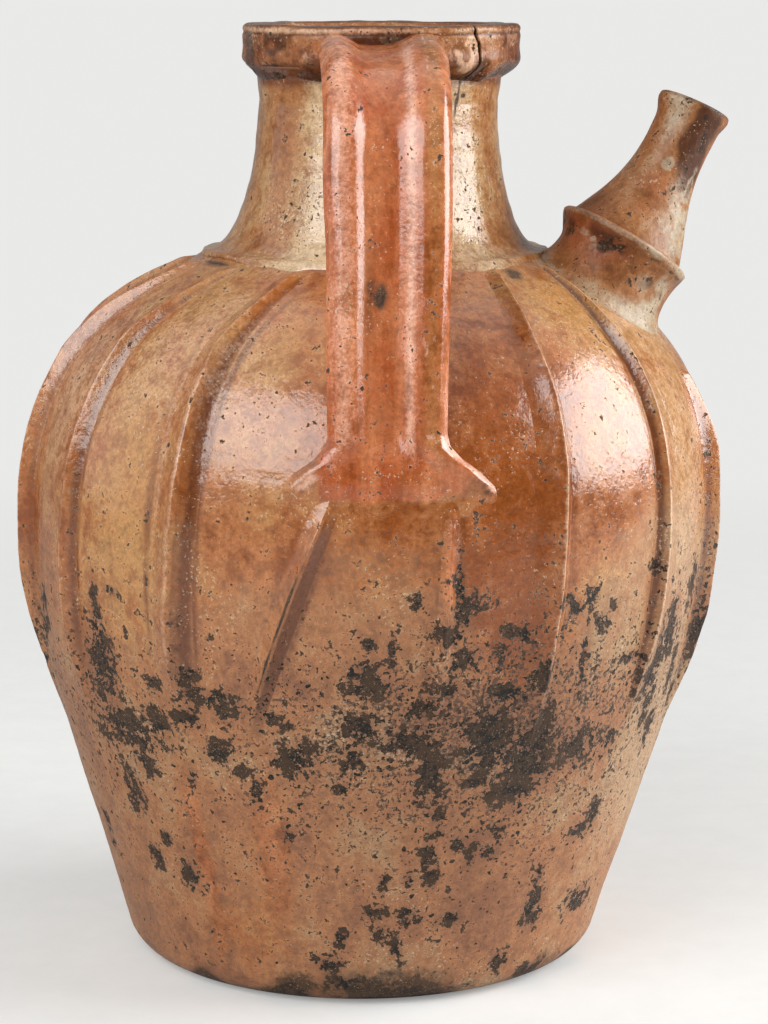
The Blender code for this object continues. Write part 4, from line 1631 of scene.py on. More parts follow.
        # The foot: a painted highlight on the right fillet, a scuffed line on the left that is partly a
        # painted highlight, bare clay below and at the sides, and a painted shadow below the right wing
        fillet = hump((1.0 - share) * strap.half, 1.8 * MM, 1.9 * MM)
        fillet = fillet * eased(flare / 0.15) * eased((height - 0.1935) / 0.003)
        scuff = hump(across + 22.0 * MM + 1.2 * (0.2035 - height), 0.0, 3.5 * MM)
        scuff = scuff * eased((0.2065 - height) / 0.004) * eased((height - 0.1885) / 0.003)
        scuff = scuff * eased(0.55 + 1.3 * crumbs) * eased((across + 37.0 * MM) / (9.0 * MM))
        low = eased((self.foot_height - 0.0040 - height + 3.5 * MM * ragged) / 0.003)
        off_side = np.maximum(-across - 21.5 * MM, across - 26.5 * MM) + 2.5 * MM * ragged
        low = np.maximum(low, eased(flare / 0.3) * eased(off_side / (3.0 * MM)))
        # Painted shadow below the right wing's lower end
        corner = hump(height, 0.1960, 0.0030) * hump(across, 36.0 * MM, 4.5 * MM) * eased(crumbs * 3.0)
        return {
            Mark.GLAZE: 1.0,
            Mark.TONE: 0.42 + 0.16 * streak + 0.14 * right - 0.10 * web,
            Mark.BLUSH: (0.92 + 0.15 * streak - 0.62 * right + 0.2 * spot) * (1.0 - 0.92 * low),
            Mark.POOL_AND_SHADE: 0.28 * web + 0.15 * low + 0.25 * hump(share, 0.60, 0.05) * free + 0.55 * smudge,
            Mark.WEAR_AND_SHEEN: worn_and_highlight * free * (1.0 - 0.5 * over_top) + 0.15 * over_top
            + 1.1 * fillet + 0.7 * yellow * free + 0.95 * scuff,
            Mark.GRIT: 0.03 + 0.14 * eased((0.26 - height) / 0.06) + 0.08 * right,
            Mark.SOOT_AND_SHADE: 0.95 * burn + 0.8 * corner,
        }

    def skins(self) -> Skins:
        """The handle alone."""
        yield "strap", Slot.HANDLE, "handle", self.skin()


@dataclass
class Spout(Maker):
    """Side spout: a collared socket luted to the shoulder and a thrown tube on it."""

    azimuth: float = math.radians(80.76)
    inset: float = 0.0346
    collar_height: float = 0.2709
    collar_tilt: float = math.radians(32.0)
    mouth_tilt: float = math.radians(25.0)
    swing: float = math.radians(15.0)
    collar_radius: float = 0.0261
    collar_edge: float = -0.0026
    undercut: float = 0.0112
    waist_radius: float = 0.0220
    waist_swell: float = 0.0022
    landing_radius: float = 0.0280
    landing_swell: float = 0.0050
    landing_rows: int = 33
    tube_foot_radius: float = 0.0230
    tube_length: float = 0.0557
    tube_waist_radius: float = 0.0119
    tube_waist_height: float = 0.0446
    tube_taper: float = math.radians(24.0)
    mouth_radius: float = 0.0140
    wall: float = 0.0042
    tuck: float = 0.35 * MM
    sink: float = 1.6 * MM
    columns: int = 220

    def frame_at(self, distance: Array) -> tuple[Array, Array, Array]:
        """Centre and the two cross directions of the spout at distances along its axis.

        The tilt eases from the collar's to the mouth's, and the centre is the running sum
        of the direction.

        Args:
            distance: Distances from the collar, upward positive.

        Returns:
            Centres, first and second cross directions, one to a row.
        """
        start = round_points(self.azimuth, self.form.belly_radius - self.inset, self.collar_height)
        fine = np.linspace(-0.05, 0.06, 441)
        share = np.clip(fine / self.tube_length, 0.0, 1.0)
        tilt = self.mouth_tilt + (self.collar_tilt - self.mouth_tilt) * (1.0 - share) ** 1.6
        across = np.array([math.cos(self.swing), math.sin(self.swing), 0.0])
        way = np.sin(tilt)[:, None] * across + np.cos(tilt)[:, None] * (0.0, 0.0, 1.0)
        centre = np.cumsum(way, axis=0) * (fine[1] - fine[0])
        centre = centre - [np.interp(0.0, fine, column) for column in centre.T] + start
        here = np.stack([np.interp(distance, fine, column) for column in centre.T], axis=1)
        tilt_here = np.interp(distance, fine, tilt)
        first = np.cos(tilt_here)[:, None] * across - np.sin(tilt_here)[:, None] * (0.0, 0.0, 1.0)
        second = np.broadcast_to([-math.sin(self.swing), math.cos(self.swing), 0.0], first.shape)
        return here, first, second

    def ring_points(self, distance: Array, radius: Array, turn: Array) -> Array:
        """Places round the spout's axis: centre + radius (cos t first + sin t second).

        Args:
            distance: Distance along the axis for each row.
            radius: Radius, for each row or each place.
            turn: Angles round the axis, 0 on the low side away from the pot.

        Returns:
            Points, rows by angles by 3.
        """
        here, first, second = self.frame_at(distance)
        ring = np.cos(turn)[None, :, None] * first[:, None] + np.sin(turn)[None, :, None] * second[:, None]
        return here[:, None] + ring * np.broadcast_to(radius, (len(distance), len(turn)))[..., None]

    def landing(self, radius: Array, turn: Array) -> Array:
        """Where lines along the axis at a radius meet the pot, by halving.

        Args:
            radius: Distances of the lines from the axis.
            turn: Their angles.

        Returns:
            Points, one to an angle.
        """
        low = np.full(len(turn), -0.048)
        high = np.zeros(len(turn))
        here, first, second = self.frame_at(np.array([0.0, -0.04]))
        way = (here[0] - here[1]) / 0.04
        ring = (np.cos(turn)[:, None] * first[0] + np.sin(turn)[:, None] * second[0]) * radius[:, None]
        for _ in range(30):
            middle = (low + high) / 2
            spot = here[0] + ring + way * middle[:, None]
            outside = np.hypot(spot[:, 0], spot[:, 1]) > self.form.radius_at(spot[:, 2])
            high = np.where(outside, middle, high)
            low = np.where(outside, low, middle)
        return here[0] + ring + way * low[:, None]

    def collar_section(self) -> Array:
        """Top of the socket, its worn edge, and the undercut down to its waist.

        Returns:
            Points (radius, distance along the axis).
        """
        collar, edge, foot = self.collar_radius, self.collar_edge, self.tube_foot_radius
        top = np.array([
            (foot - self.wall, 0.0), (foot, 0.0), (collar - 0.0018, -0.0003),
            (collar - 0.0006, -0.0007), (collar, -0.0015), (collar - 0.0003, edge),
        ])
        pull, waist = (self.waist_radius, 0.0035 - self.undercut), (self.waist_radius, -self.undercut)
        under = bezier((collar - 0.0003, edge), (collar - 0.0013, -0.0050), pull, waist, 22)
        return np.concatenate([top, under[1:]])

    def socket_skin(self) -> Skin:
        """Collar with a thin worn edge, undercut below, flowing out onto the shoulder.

        Returns:
            The closed surface.
        """
        form = self.form
        turn = full_turn(self.columns)
        wobble = 0.30 * MM * np.sin(2 * turn + 0.7) + 0.22 * MM * np.sin(5 * turn + 2.0)
        section = self.collar_section()
        low_side = np.maximum(np.cos(turn), 0.0)
        swell = eased(np.arange(len(section)) / (len(section) - 1.0))[:, None] * self.waist_swell * low_side
        outer = self.ring_points(section[:, 1], section[:, :1] + wobble + swell, turn)
        corner = self.landing(self.waist_radius + self.waist_swell * low_side, turn)
        uneven = 0.9 * MM * np.sin(3 * turn + 0.5) + 0.7 * MM * np.sin(7 * turn + 1.1)
        land = self.landing(self.landing_radius + self.landing_swell * low_side + uneven, turn)
        share = np.linspace(0.0, 1.0, self.landing_rows + 1)[1:, None, None]
        fillet = (1 - share) ** 2 * outer[-1] + 2 * (1 - share) * share * corner + share**2 * land
        angle, height = np.arctan2(land[:, 0], -land[:, 1]), land[:, 2]
        pot = self.clay.unevenness(Spots(angle, form.radius_at(height), height))
        fillet = fillet + (form.on_pot(angle, height, pot - self.tuck) - land) * eased(share * 1.6 - 0.6)
        sunk = form.on_pot(angle, height, -self.sink)[None]
        deep = self.ring_points(np.array([-0.036, -0.018, -0.001]), self.tube_foot_radius - self.wall, turn)
        place = np.concatenate([outer, fillet])
        row = np.linspace(0.0, 1.0, len(place))[:, None]
        dent = (0.60 * MM * lumps(place, 9, 111) + 0.25 * MM * lumps(place, 3.5, 112)) * hump(row, 0.50, 0.26)
        away = place - self.frame_at(np.zeros(1))[0][0]
        away = away / np.linalg.norm(away, axis=-1, keepdims=True)
        grid = np.concatenate([place + away * dent[..., None], sunk, deep])
        inside = len(grid) - len(place)
        marks = padded(self.dress_socket(turn, row, place), place.shape[:2], ((0, inside), (0, 0)), None)
        return Skin(form.leaned(grid), marks, wrap_along=True)

    def dress_socket(self, turn: Array, row: Array, place: Array) -> Marks:
        """Marks of the socket: pooled and burnt under the collar, pale on its outer side.

        Args:
            turn: Angles round the axis.
            row: Rows from 0 at the top to 1 on the shoulder.
            place: Places of the grid.

        Returns:
            One array for each mark.
        """
        left_under = bell_round(turn, -145.0, 0.85) * hump(row, 0.32, 0.24)
        outer_side = bell_round(turn, -61.0, 0.55)
        burnt = bell_round(turn, -117.0, 0.22) * hump(row, 0.27, 0.14)
        scuffed = bell_round(turn, -139.0, 0.30) * hump(row, 0.32, 0.13)
        broken = lumps(place, 2.7, 117) + 0.7 * lumps(place, 1.3, 118)
        blotch = lumps(place, 6, 113)
        pooled_and_shaded = 0.75 + 0.6 * blotch - 0.35 * left_under - 0.40 * outer_side
        crumbs = eased((lumps(place, 4.5, 116) - 0.25) / 0.3) * hump(row, 0.34, 0.2)
        return {
            Mark.GLAZE: 1.0,
            Mark.TONE: 0.30 + 0.45 * eased((row - 0.50) / 0.3) + 0.25 * blotch + 0.35 * outer_side,
            Mark.BLUSH: 0.10 + 1.0 * left_under,
            Mark.POOL_AND_SHADE: hump(row, 0.24, 0.15) * pooled_and_shaded,
            Mark.WEAR_AND_SHEEN: 1.2 * scuffed * eased(0.4 + 1.1 * broken) + 0.55 * hump(row, 0.070, 0.030)
            + 0.90 * outer_side * eased(0.55 + 1.5 * blotch)
            + 0.30 * eased((row - 0.66) / 0.2) * (0.6 + 0.7 * lumps(place, 7, 114)),
            Mark.GRIT: 0.22,
            Mark.SOOT_AND_SHADE: 0.55 * hump(row, 0.16, 0.05) * bell_round(turn, -50.0, 0.8)
            + 1.1 * burnt * eased(0.75 - 0.9 * broken) + 0.7 * crumbs,
        }

    def tube_skin(self) -> Skin:
        """Tapered tube with a slightly flared, softly cut mouth and a bore.

        Returns:
            The closed surface.
        """
        turn = full_turn(self.columns)
        foot = np.array([self.tube_foot_radius, -0.0006])
        lean_in = np.array([-math.sin(self.tube_taper), math.cos(self.tube_taper)])
        waist = np.array([self.tube_waist_radius, self.tube_waist_height])
        mouth, end, inner = self.mouth_radius, self.tube_length, self.mouth_radius - self.wall
        body = bezier(foot, foot + lean_in * 0.015, waist - (0.0, 0.020), waist, 60)
        flare = bezier(waist, waist + (0.0, 0.005), (mouth - 0.0006, end - 0.0055), (mouth, end - 0.0022), 14)
        lip = rounded_corner((mouth, end - 0.0022), (mouth, end), (inner, end), 0.0011, 6)
        lip_in = rounded_corner((mouth, end), (inner + 0.0004, end), (inner, end - 0.004), 0.0010, 6)
        bore = body[::5] - (self.wall, 0.0)
        section = np.concatenate([body, flare[1:], lip, lip_in, bore[::-1]])
        radius, distance = section[:, :1], section[:, 1]
        place = self.ring_points(distance, radius, turn)
        outside = (np.arange(len(section)) < len(body) + len(flare) - 1)[:, None].astype(float)
        up = (distance / end)[:, None]
        wobble = 0.45 * MM * lumps(place, 17, 121) + 0.16 * MM * lumps(place, 6, 122)
        mouth_wave = (0.30 * np.sin(2 * turn + 1.0) - 0.25) * MM * eased((up - 0.8) / 0.2)
        points = self.ring_points(distance, radius + wobble * outside + mouth_wave, turn)
        return Skin(self.form.leaned(points), self.dress_tube(turn, up, place, outside), wrap_along=True)

    def dress_tube(self, turn: Array, up: Array, place: Array, outside: Array) -> Marks:
        """Marks of the tube: a dark run under the mouth, a pale streak, spot and lower side.

        Args:
            turn: Angles round the axis.
            up: Rows from 0 at the collar to 1 at the mouth.
            place: Places of the grid.
            outside: 1 on the outer side, 0 in the bore.

        Returns:
            One array for each mark.
        """
        streak = bell_round(turn, -138.0, 0.42) * eased((up - 0.50) / 0.35)
        dark = bell_round(turn, -86.0, 0.46) * hump(up, 0.84, 0.20)
        dark = dark + 0.9 * bell_round(turn, -66.0, 0.34) * hump(up, 0.58, 0.18)
        # Painted glints
        glints = bell_round(turn, -56.0, 0.40) * hump(up, 0.46, 0.18)
        warm = bell_round(turn, -118.0, 0.60) * hump(up, 0.40, 0.26)
        left = bell_round(turn, -165.0, 0.4)
        beige = hump(up, 0.20, 0.24) * bell_round(turn, -59.0, 0.62)
        off_spot = np.hypot((up - 0.54) / 0.055, turn_between(turn, math.radians(-112.0)) / 0.20)
        blotch = eased(0.5 + 1.6 * lumps(place, 6, 123))
        broken = lumps(place, 2.4, 128) + 0.7 * lumps(place, 1.2, 129)
        return {
            Mark.GLAZE: 1.0,
            Mark.TONE: 0.42 + 0.25 * lumps(place, 10, 124) + 0.40 * streak + 0.5 * beige - 0.1 * left,
            Mark.BLUSH: 0.45 * warm + 0.15 * blotch,
            Mark.POOL_AND_SHADE: 1.8 * dark * (0.5 + 0.7 * blotch) + 0.20 * left + 0.12 * beige
            + 0.30 * eased(lumps(place, 7, 126) * 2.0),
            Mark.WEAR_AND_SHEEN: 0.55 * hump(up, 1.0, 0.030) * outside + 1.00 * beige * eased(0.8 + 1.2 * broken)
            + 1.2 * hump(off_spot, 0.50, 0.42) + 0.75 * streak + 0.75 * glints * eased(broken * 1.4),
            Mark.GRIT: 0.20,
            Mark.SOOT_AND_SHADE: (1.0 - outside) * 0.5 + 0.8 * dark * eased((lumps(place, 4, 125) - 0.1) / 0.4)
            + 0.5 * hump(up, 0.97, 0.02) * eased(lumps(place, 5, 127) * 2.0),
        }

    def skins(self) -> Skins:
        """The socket and the tube, each for its own node."""
        yield "spout_collar", Slot.SOCKET, "spout_socket", self.socket_skin()
        yield "spout_pipe", Slot.TUBE, "spout_tube", self.tube_skin()


def linear(colour: str) -> tuple[float, float, float, float]:
    """Linear light of an sRGB hex colour.

    Args:
        colour: Six hex digits.

    Returns:
        Red, green, blue and 1.
    """
    shares = [int(colour[i : i + 2], 16) / 255.0 for i in (0, 2, 4)]
    parts = [s / 12.92 if s <= 0.04045 else ((s + 0.055) / 1.055) ** 2.4 for s in shares]
    return (*parts, 1.0)


@dataclass
class Shader:
    """A node tree in the making."""

    tree: bpy.types.NodeTree

    def add(self, kind: str, inputs: dict, out: int | str = 0, **settings: object) -> Socket | None:
        """Add a shader node with its settings, set or link its inputs, and give one output.

        Args:
            kind: Node type without its ShaderNode prefix.
            inputs: Name or number of a live input to a value, or to a socket to link.
            out: Name or number of the live output to give.
            settings: Properties of the node.

        Returns:
            The output socket, or None where the node has none.
        """
        node = self.tree.nodes.new("ShaderNode" + kind)
        for name, value in settings.items():
            setattr(node, name, value)
        live = [socket for socket in node.inputs if socket.enabled]
        for key, value in inputs.items():
            socket = live[key] if isinstance(key, int) else next(s for s in live if s.name == key)
            if isinstance(value, Socket):
                self.tree.links.new(value, socket)
            else:
                socket.default_value = value
        given = [socket for socket in node.outputs if socket.enabled]
        if not given:
            return None
        return given[out] if isinstance(out, int) else next(s for s in given if s.name == out)

    def swayed(self, mark: Socket, noises: dict, low: float, high: float, most: float = 1.0) -> Socket:
        """Share from 0 to most: the mark plus each noise's swing times its weight, between bounds.

        Args:
            mark: The mark's socket.
            noises: Noise socket to weight.
            low: Value at which the share is 0.
            high: Value at which it is most.
            most: The largest share.

        Returns:
            The share's socket.
        """
        total = mark
        for noise, weight in noises.items():
            total = self.add("Math", {0: noise, 1: weight, 2: total}, operation="MULTIPLY_ADD")
        middle = sum(noises.values()) / 2.0
        return self.add("MapRange", {0: total, 1: low + middle, 2: high + middle, 3: 0.0, 4: most})

    def coats(self, colour: Socket | tuple, *layers: tuple[Socket, str | Socket]) -> Socket:
        """Coats laid over a colour.

        Args:
            colour: What lies below, a socket or a linear colour.
            layers: Share and colour of each coat, from the lowest up.

        Returns:
            The colour's socket.
        """
        for share, coat in layers:
            coat = linear(coat) if isinstance(coat, str) else coat
            colour = self.add("Mix", {0: share, 1: colour, 2: coat}, data_type="RGBA")
        return colour


@dataclass(frozen=True)
class GlazedEarthenware:
    """Lead-glazed red earthenware, worn by use.

    The clay is a salmon red body, open and dull. The glaze is a clear lead glaze, glossy and
    amber where it lies thin, brown where it ran together, orange-red where the clay under it
    was slipped. Pits are burst bubbles and lime pops of 1 to 3 mm, and flakes went black with
    old oil.
    """

    clay_deep: str = "955F3D"
    clay: str = "B07549"
    clay_pale: str = "B48E65"
    deep: str = "924C1A"
    amber: str = "AE6C3C"
    gold: str = "BB8852"
    blush: str = "B3592B"
    blush_pale: str = "CE8656"
    # Colour of pooled glaze, also laid as painted shade
    pooled_and_shaded: str = "6A3618"
    # Colour of worn glaze, also laid as painted highlights and sheen
    worn_and_highlight: str = "DDB696"
    stain: str = "70422A"
    black: str = "211F1C"
    black_brown: str = "4E3A2B"
    fleck: str = "4A2E1E"
    chalk: str = "D9BF9F"
    gloss: float = 0.14
    dull: float = 0.40
    crusted: float = 0.55
    ior: float = 1.65
    wave: float = 1.0
    bend_mm: float = 2.2
    bend_by_mm: float = 3.6
    streak_stretch: float = 0.16
    pits_mm: tuple[float, float] = (3.4, 1.9)
    pit_sizes: tuple[float, float] = (0.34, 0.32)

    def noises(self, add: Callable, place: Socket) -> dict[Grain, Socket]:
        """One noise for each grain, the streaks drawn out upward.

        Args:
            add: The shader's add function.
            place: Object coordinates.

        Returns:
            Grain to socket.
        """
        upright = add("Mapping", {"Vector": place, "Scale": (1.0, 1.0, self.streak_stretch)})
        found = {}
        for grain in Grain:
            source = upright if grain is Grain.STREAK else place
            inputs = {"Vector": source, "Scale": 1.0 / (grain.value * MM), "Detail": 3.0, "Roughness": 0.6}
            found[grain] = add("TexNoise", inputs)
        return found

    def make(self, name: str) -> Material:
        """Build the material.

        Args:
            name: Its name.

        Returns:
            The material.
        """
        material = bpy.data.materials.new(name)
        material.use_nodes = True
        shader = Shader(material.node_tree)
        shader.tree.nodes.clear()
        add, swayed, coats = shader.add, shader.swayed, shader.coats
        place = add("TexCoord", {}, out="Object")
        mark = {m: add("Attribute", {}, out="Fac", attribute_name=m.value) for m in Mark}
        noise = self.noises(add, place)
        cloud, streak, mottle, crust, fleck, chalk, dust = noise.values()
        cover = swayed(mark[Mark.GLAZE], {mottle: 1.4, fleck: 0.8}, 0.30, 0.70)

        # Fine mottle of the fired clay, seen through the glaze
        mottled = add("MapRange", {0: fleck, 1: 0.30, 2: 0.70, 3: 0.80, 4: 1.15})
        mottled = add("Math", {0: dust, 1: 0.30, 2: mottled}, operation="MULTIPLY_ADD")
        mottled = add("Math", {0: mottled, 1: 0.15}, operation="SUBTRACT")
        blotched = add("Math", {0: crust, 1: 0.8, 2: mottle}, operation="MULTIPLY_ADD")
        blotched = add("MapRange", {0: blotched, 1: 0.70, 2: 1.05, 3: 0.80, 4: 1.12})
        mottled = add("Math", {0: mottled, 1: blotched}, operation="MULTIPLY")
        ground = self.ground(shader, mark, noise, cover)
        colour = add("VectorMath", {0: ground, 1: mottled}, operation="MULTIPLY")

        # Pits, one to a cell where the cell's lot is below the grit, and crusted flakes
        flaking = add("Math", {0: mark[Mark.GRIT], 1: 0.35, 2: mark[Mark.SCAR]}, operation="MULTIPLY_ADD")
        ragged = {mottle: 2.4, crust: 2.4, fleck: 1.6}
        flaked = swayed(flaking, ragged, 0.63, 0.72)
        fringe = swayed(flaking, ragged, 0.52, 0.62)
        broken = add("MapRange", {0: chalk, 1: 0.50, 2: 0.62, 3: 0.0, 4: 0.42})
        fringe = add("Math", {0: fringe, 1: broken}, operation="MULTIPLY")
        pits = self.pits(add, place, crust, mark[Mark.GRIT])
        dark = add("Math", {0: flaked, 1: pits}, operation="MAXIMUM")
        soot = swayed(mark[Mark.SOOT_AND_SHADE], {mottle: 1.1, fleck: 0.7}, 0.35, 0.75, 0.95)
        dirt = add("Math", {0: dark, 1: soot}, operation="MAXIMUM")
        brown = add("Math", {0: mottle, 1: 1.4, 2: fleck}, operation="MULTIPLY_ADD")
        brown = add("MapRange", {0: brown, 1: 1.10, 2: 1.32})
        crumb = add("MapRange", {0: dust, 1: 0.62, 2: 0.68, 3: 0.0, 4: 0.45})
        black = coats(linear(self.black), (brown, self.black_brown), (crumb, self.chalk))

        # Iron flecks, pale lime flecks, worn fringes of the flakes, and the black
        iron = swayed(fleck, {mark[Mark.GRIT]: 0.25, mottle: 0.40}, 0.570, 0.605, 0.85)
        lime = swayed(chalk, {cloud: 0.5}, 0.665, 0.71, 0.55)
        colour = coats(colour, (iron, self.fleck), (lime, self.chalk), (fringe, self.worn_and_highlight), (dirt, black))

        # Gloss: glaze shines, bare clay and flakes are dull
        rough = add("Mix", {0: cover, 1: self.dull, 2: self.gloss})
        scuff = add("MapRange", {0: mottle, 1: 0.40, 2: 0.75, 3: 0.0, 4: 0.14})
        rough = add("Math", {0: rough, 1: scuff}, operation="ADD")
        rough = add("Mix", {0: dirt, 1: rough, 2: self.crusted})
        shine = add("Mix", {0: dirt, 1: 0.5, 2: 0.2})

        # Relief in millimetres: waves of the glaze, flecks, pits and flakes sunk in
        relief = add("Math", {0: mottle, 1: 0.30 * self.wave}, operation="MULTIPLY")
        crumbs = add("Math", {0: dust, 1: dark}, operation="MULTIPLY")
        for source, depth in (
            (streak, 0.16 * self.wave), (crust, 0.14 * self.wave), (fleck, 0.07), (iron, -0.08), (lime, 0.06),
            (dark, -0.38), (crumbs, 0.85),
        ):
            relief = add("Math", {0: source, 1: depth, 2: relief}, operation="MULTIPLY_ADD")
        bump = add("Bump", {"Strength": 1.0, "Distance": MM, "Height": relief})
        surface = {"Base Color": colour, "Roughness": rough, "IOR": self.ior, "Specular IOR Level": shine}
        add("OutputMaterial", {"Surface": add("BsdfPrincipled", surface | {"Normal": bump})})
        return material

    def ground(self, shader: Shader, mark: dict, noise: dict, cover: Socket) -> Socket:
        """Colour of clay and glaze before specks and dirt.

        Args:
            shader: The shader in the making.
            mark: Sockets of the marks.
            noise: Sockets of the noises.
            cover: Where the glaze covers the clay.

        Returns:
            The colour's socket.
        """
        add, swayed, coats = shader.add, shader.swayed, shader.coats
        cloud, streak, mottle, crust, fleck = list(noise.values())[:5]
        grained = {cloud: 1.3, streak: 0.9, mottle: 0.9, crust: 0.5}
        to_middle = swayed(mark[Mark.TONE], grained, 0.10, 0.50)
        to_pale = swayed(mark[Mark.TONE], grained, 0.52, 0.95)
        clay, glaze = (
            coats(linear(first), (to_middle, second), (to_pale, third))
            for first, second, third in (
                (self.clay_deep, self.clay, self.clay_pale), (self.deep, self.amber, self.gold),
            )
        )
        streaked = add("MapRange", {0: streak, 1: 0.35, 2: 0.65})
        red = coats(linear(self.blush), (streaked, self.blush_pale))
        blush = swayed(mark[Mark.BLUSH], {streak: 0.9, mottle: 0.8}, 0.25, 0.85)
        pool = swayed(mark[Mark.POOL_AND_SHADE], {mottle: 1.3, streak: 0.6, fleck: 0.4}, 0.25, 0.80, 0.85)
        wear = swayed(mark[Mark.WEAR_AND_SHEEN], {mottle: 0.8, fleck: 0.8}, 0.20, 0.90, 0.80)
        stained = add("Math", {0: mark[Mark.GRIT], 1: 0.25, 2: mark[Mark.SCAR]}, operation="MULTIPLY_ADD")
        stain = swayed(stained, {mottle: 2.2, crust: 2.0}, 0.38, 0.62, 0.42)
        glaze = coats(glaze, (blush, red))
        return coats(clay, (cover, glaze), (pool, self.pooled_and_shaded), (wear, self.worn_and_highlight), (stain, self.stain))

    def pits(self, add: Callable, place: Socket, crust: Socket, grit: Socket) -> Socket:
        """Pits in two sizes, their outlines bent and crumpled, as many as the grit says.

        Args:
            add: The shader's add function.
            place: Object coordinates.
            crust: A noise that crumples the edges.
            grit: How thickly pits lie.

        Returns:
            1 in a pit, 0 outside.
        """
        inputs = {"Vector": place, "Scale": 1.0 / (self.bend_mm * MM), "Detail": 2.0}
        bend = add("TexNoise", inputs, out="Color")
        bend = add("VectorMath", {0: bend, 1: (0.5, 0.5, 0.5)}, operation="SUBTRACT")
        inputs = {0: bend, 1: (self.bend_by_mm * MM,) * 3, 2: place}
        bent = add("VectorMath", inputs, operation="MULTIPLY_ADD")
        found = None
        for size, most in zip(self.pits_mm, self.pit_sizes):
            inputs = {"Vector": bent, "Scale": 1.0 / (size * MM)}
            distance = add("TexVoronoi", inputs, out="Distance")
            lot = add("SeparateColor", {0: add("TexVoronoi", inputs, out="Color")})
            chance = add("Math", {0: grit, 1: lot}, operation="SUBTRACT")
            reach = add("MapRange", {0: chance, 1: -0.01, 2: 0.30, 3: 0.0, 4: most})
            reach = add("Math", {0: crust, 1: 0.35, 2: reach}, operation="MULTIPLY_ADD")
            inside = add("Math", {0: reach, 1: distance}, operation="SUBTRACT")
            hole = add("MapRange", {0: inside, 1: 0.175, 2: 0.235})
            some = add("Math", {0: chance, 1: 0.0}, operation="GREATER_THAN")
            hole = add("Math", {0: hole, 1: some}, operation="MULTIPLY")
            found = hole if found is None else add("Math", {0: found, 1: hole}, operation="MAXIMUM")
        return found


@dataclass(frozen=True)
class SoftBox:
    """A soft box aimed at a point above the pot's foot. Angles are in degrees."""

    name: str
    azimuth: float
    elevation: float
    distance: float
    wide: float
    tall: float
    power: float
    aim_height: float = 0.2

    def build(self) -> None:
        """Make the lamp."""
        data = bpy.data.lights.new(self.name, "AREA")
        data.shape = "RECTANGLE"
        data.size = self.wide
        data.size_y = self.tall
        data.energy = self.power
        a, e = math.radians(self.azimuth), math.radians(self.elevation)
        spot = np.array([math.sin(a) * math.cos(e), -math.cos(a) * math.cos(e), math.sin(e)]) * self.distance
        turn = Matrix.Rotation(a, 4, "Z") @ Matrix.Rotation(math.pi / 2 - e, 4, "X")
        lamp = add_object(self.name, data)
        lamp.matrix_world = Matrix.Translation(spot + (0.0, 0.0, self.aim_height)) @ turn


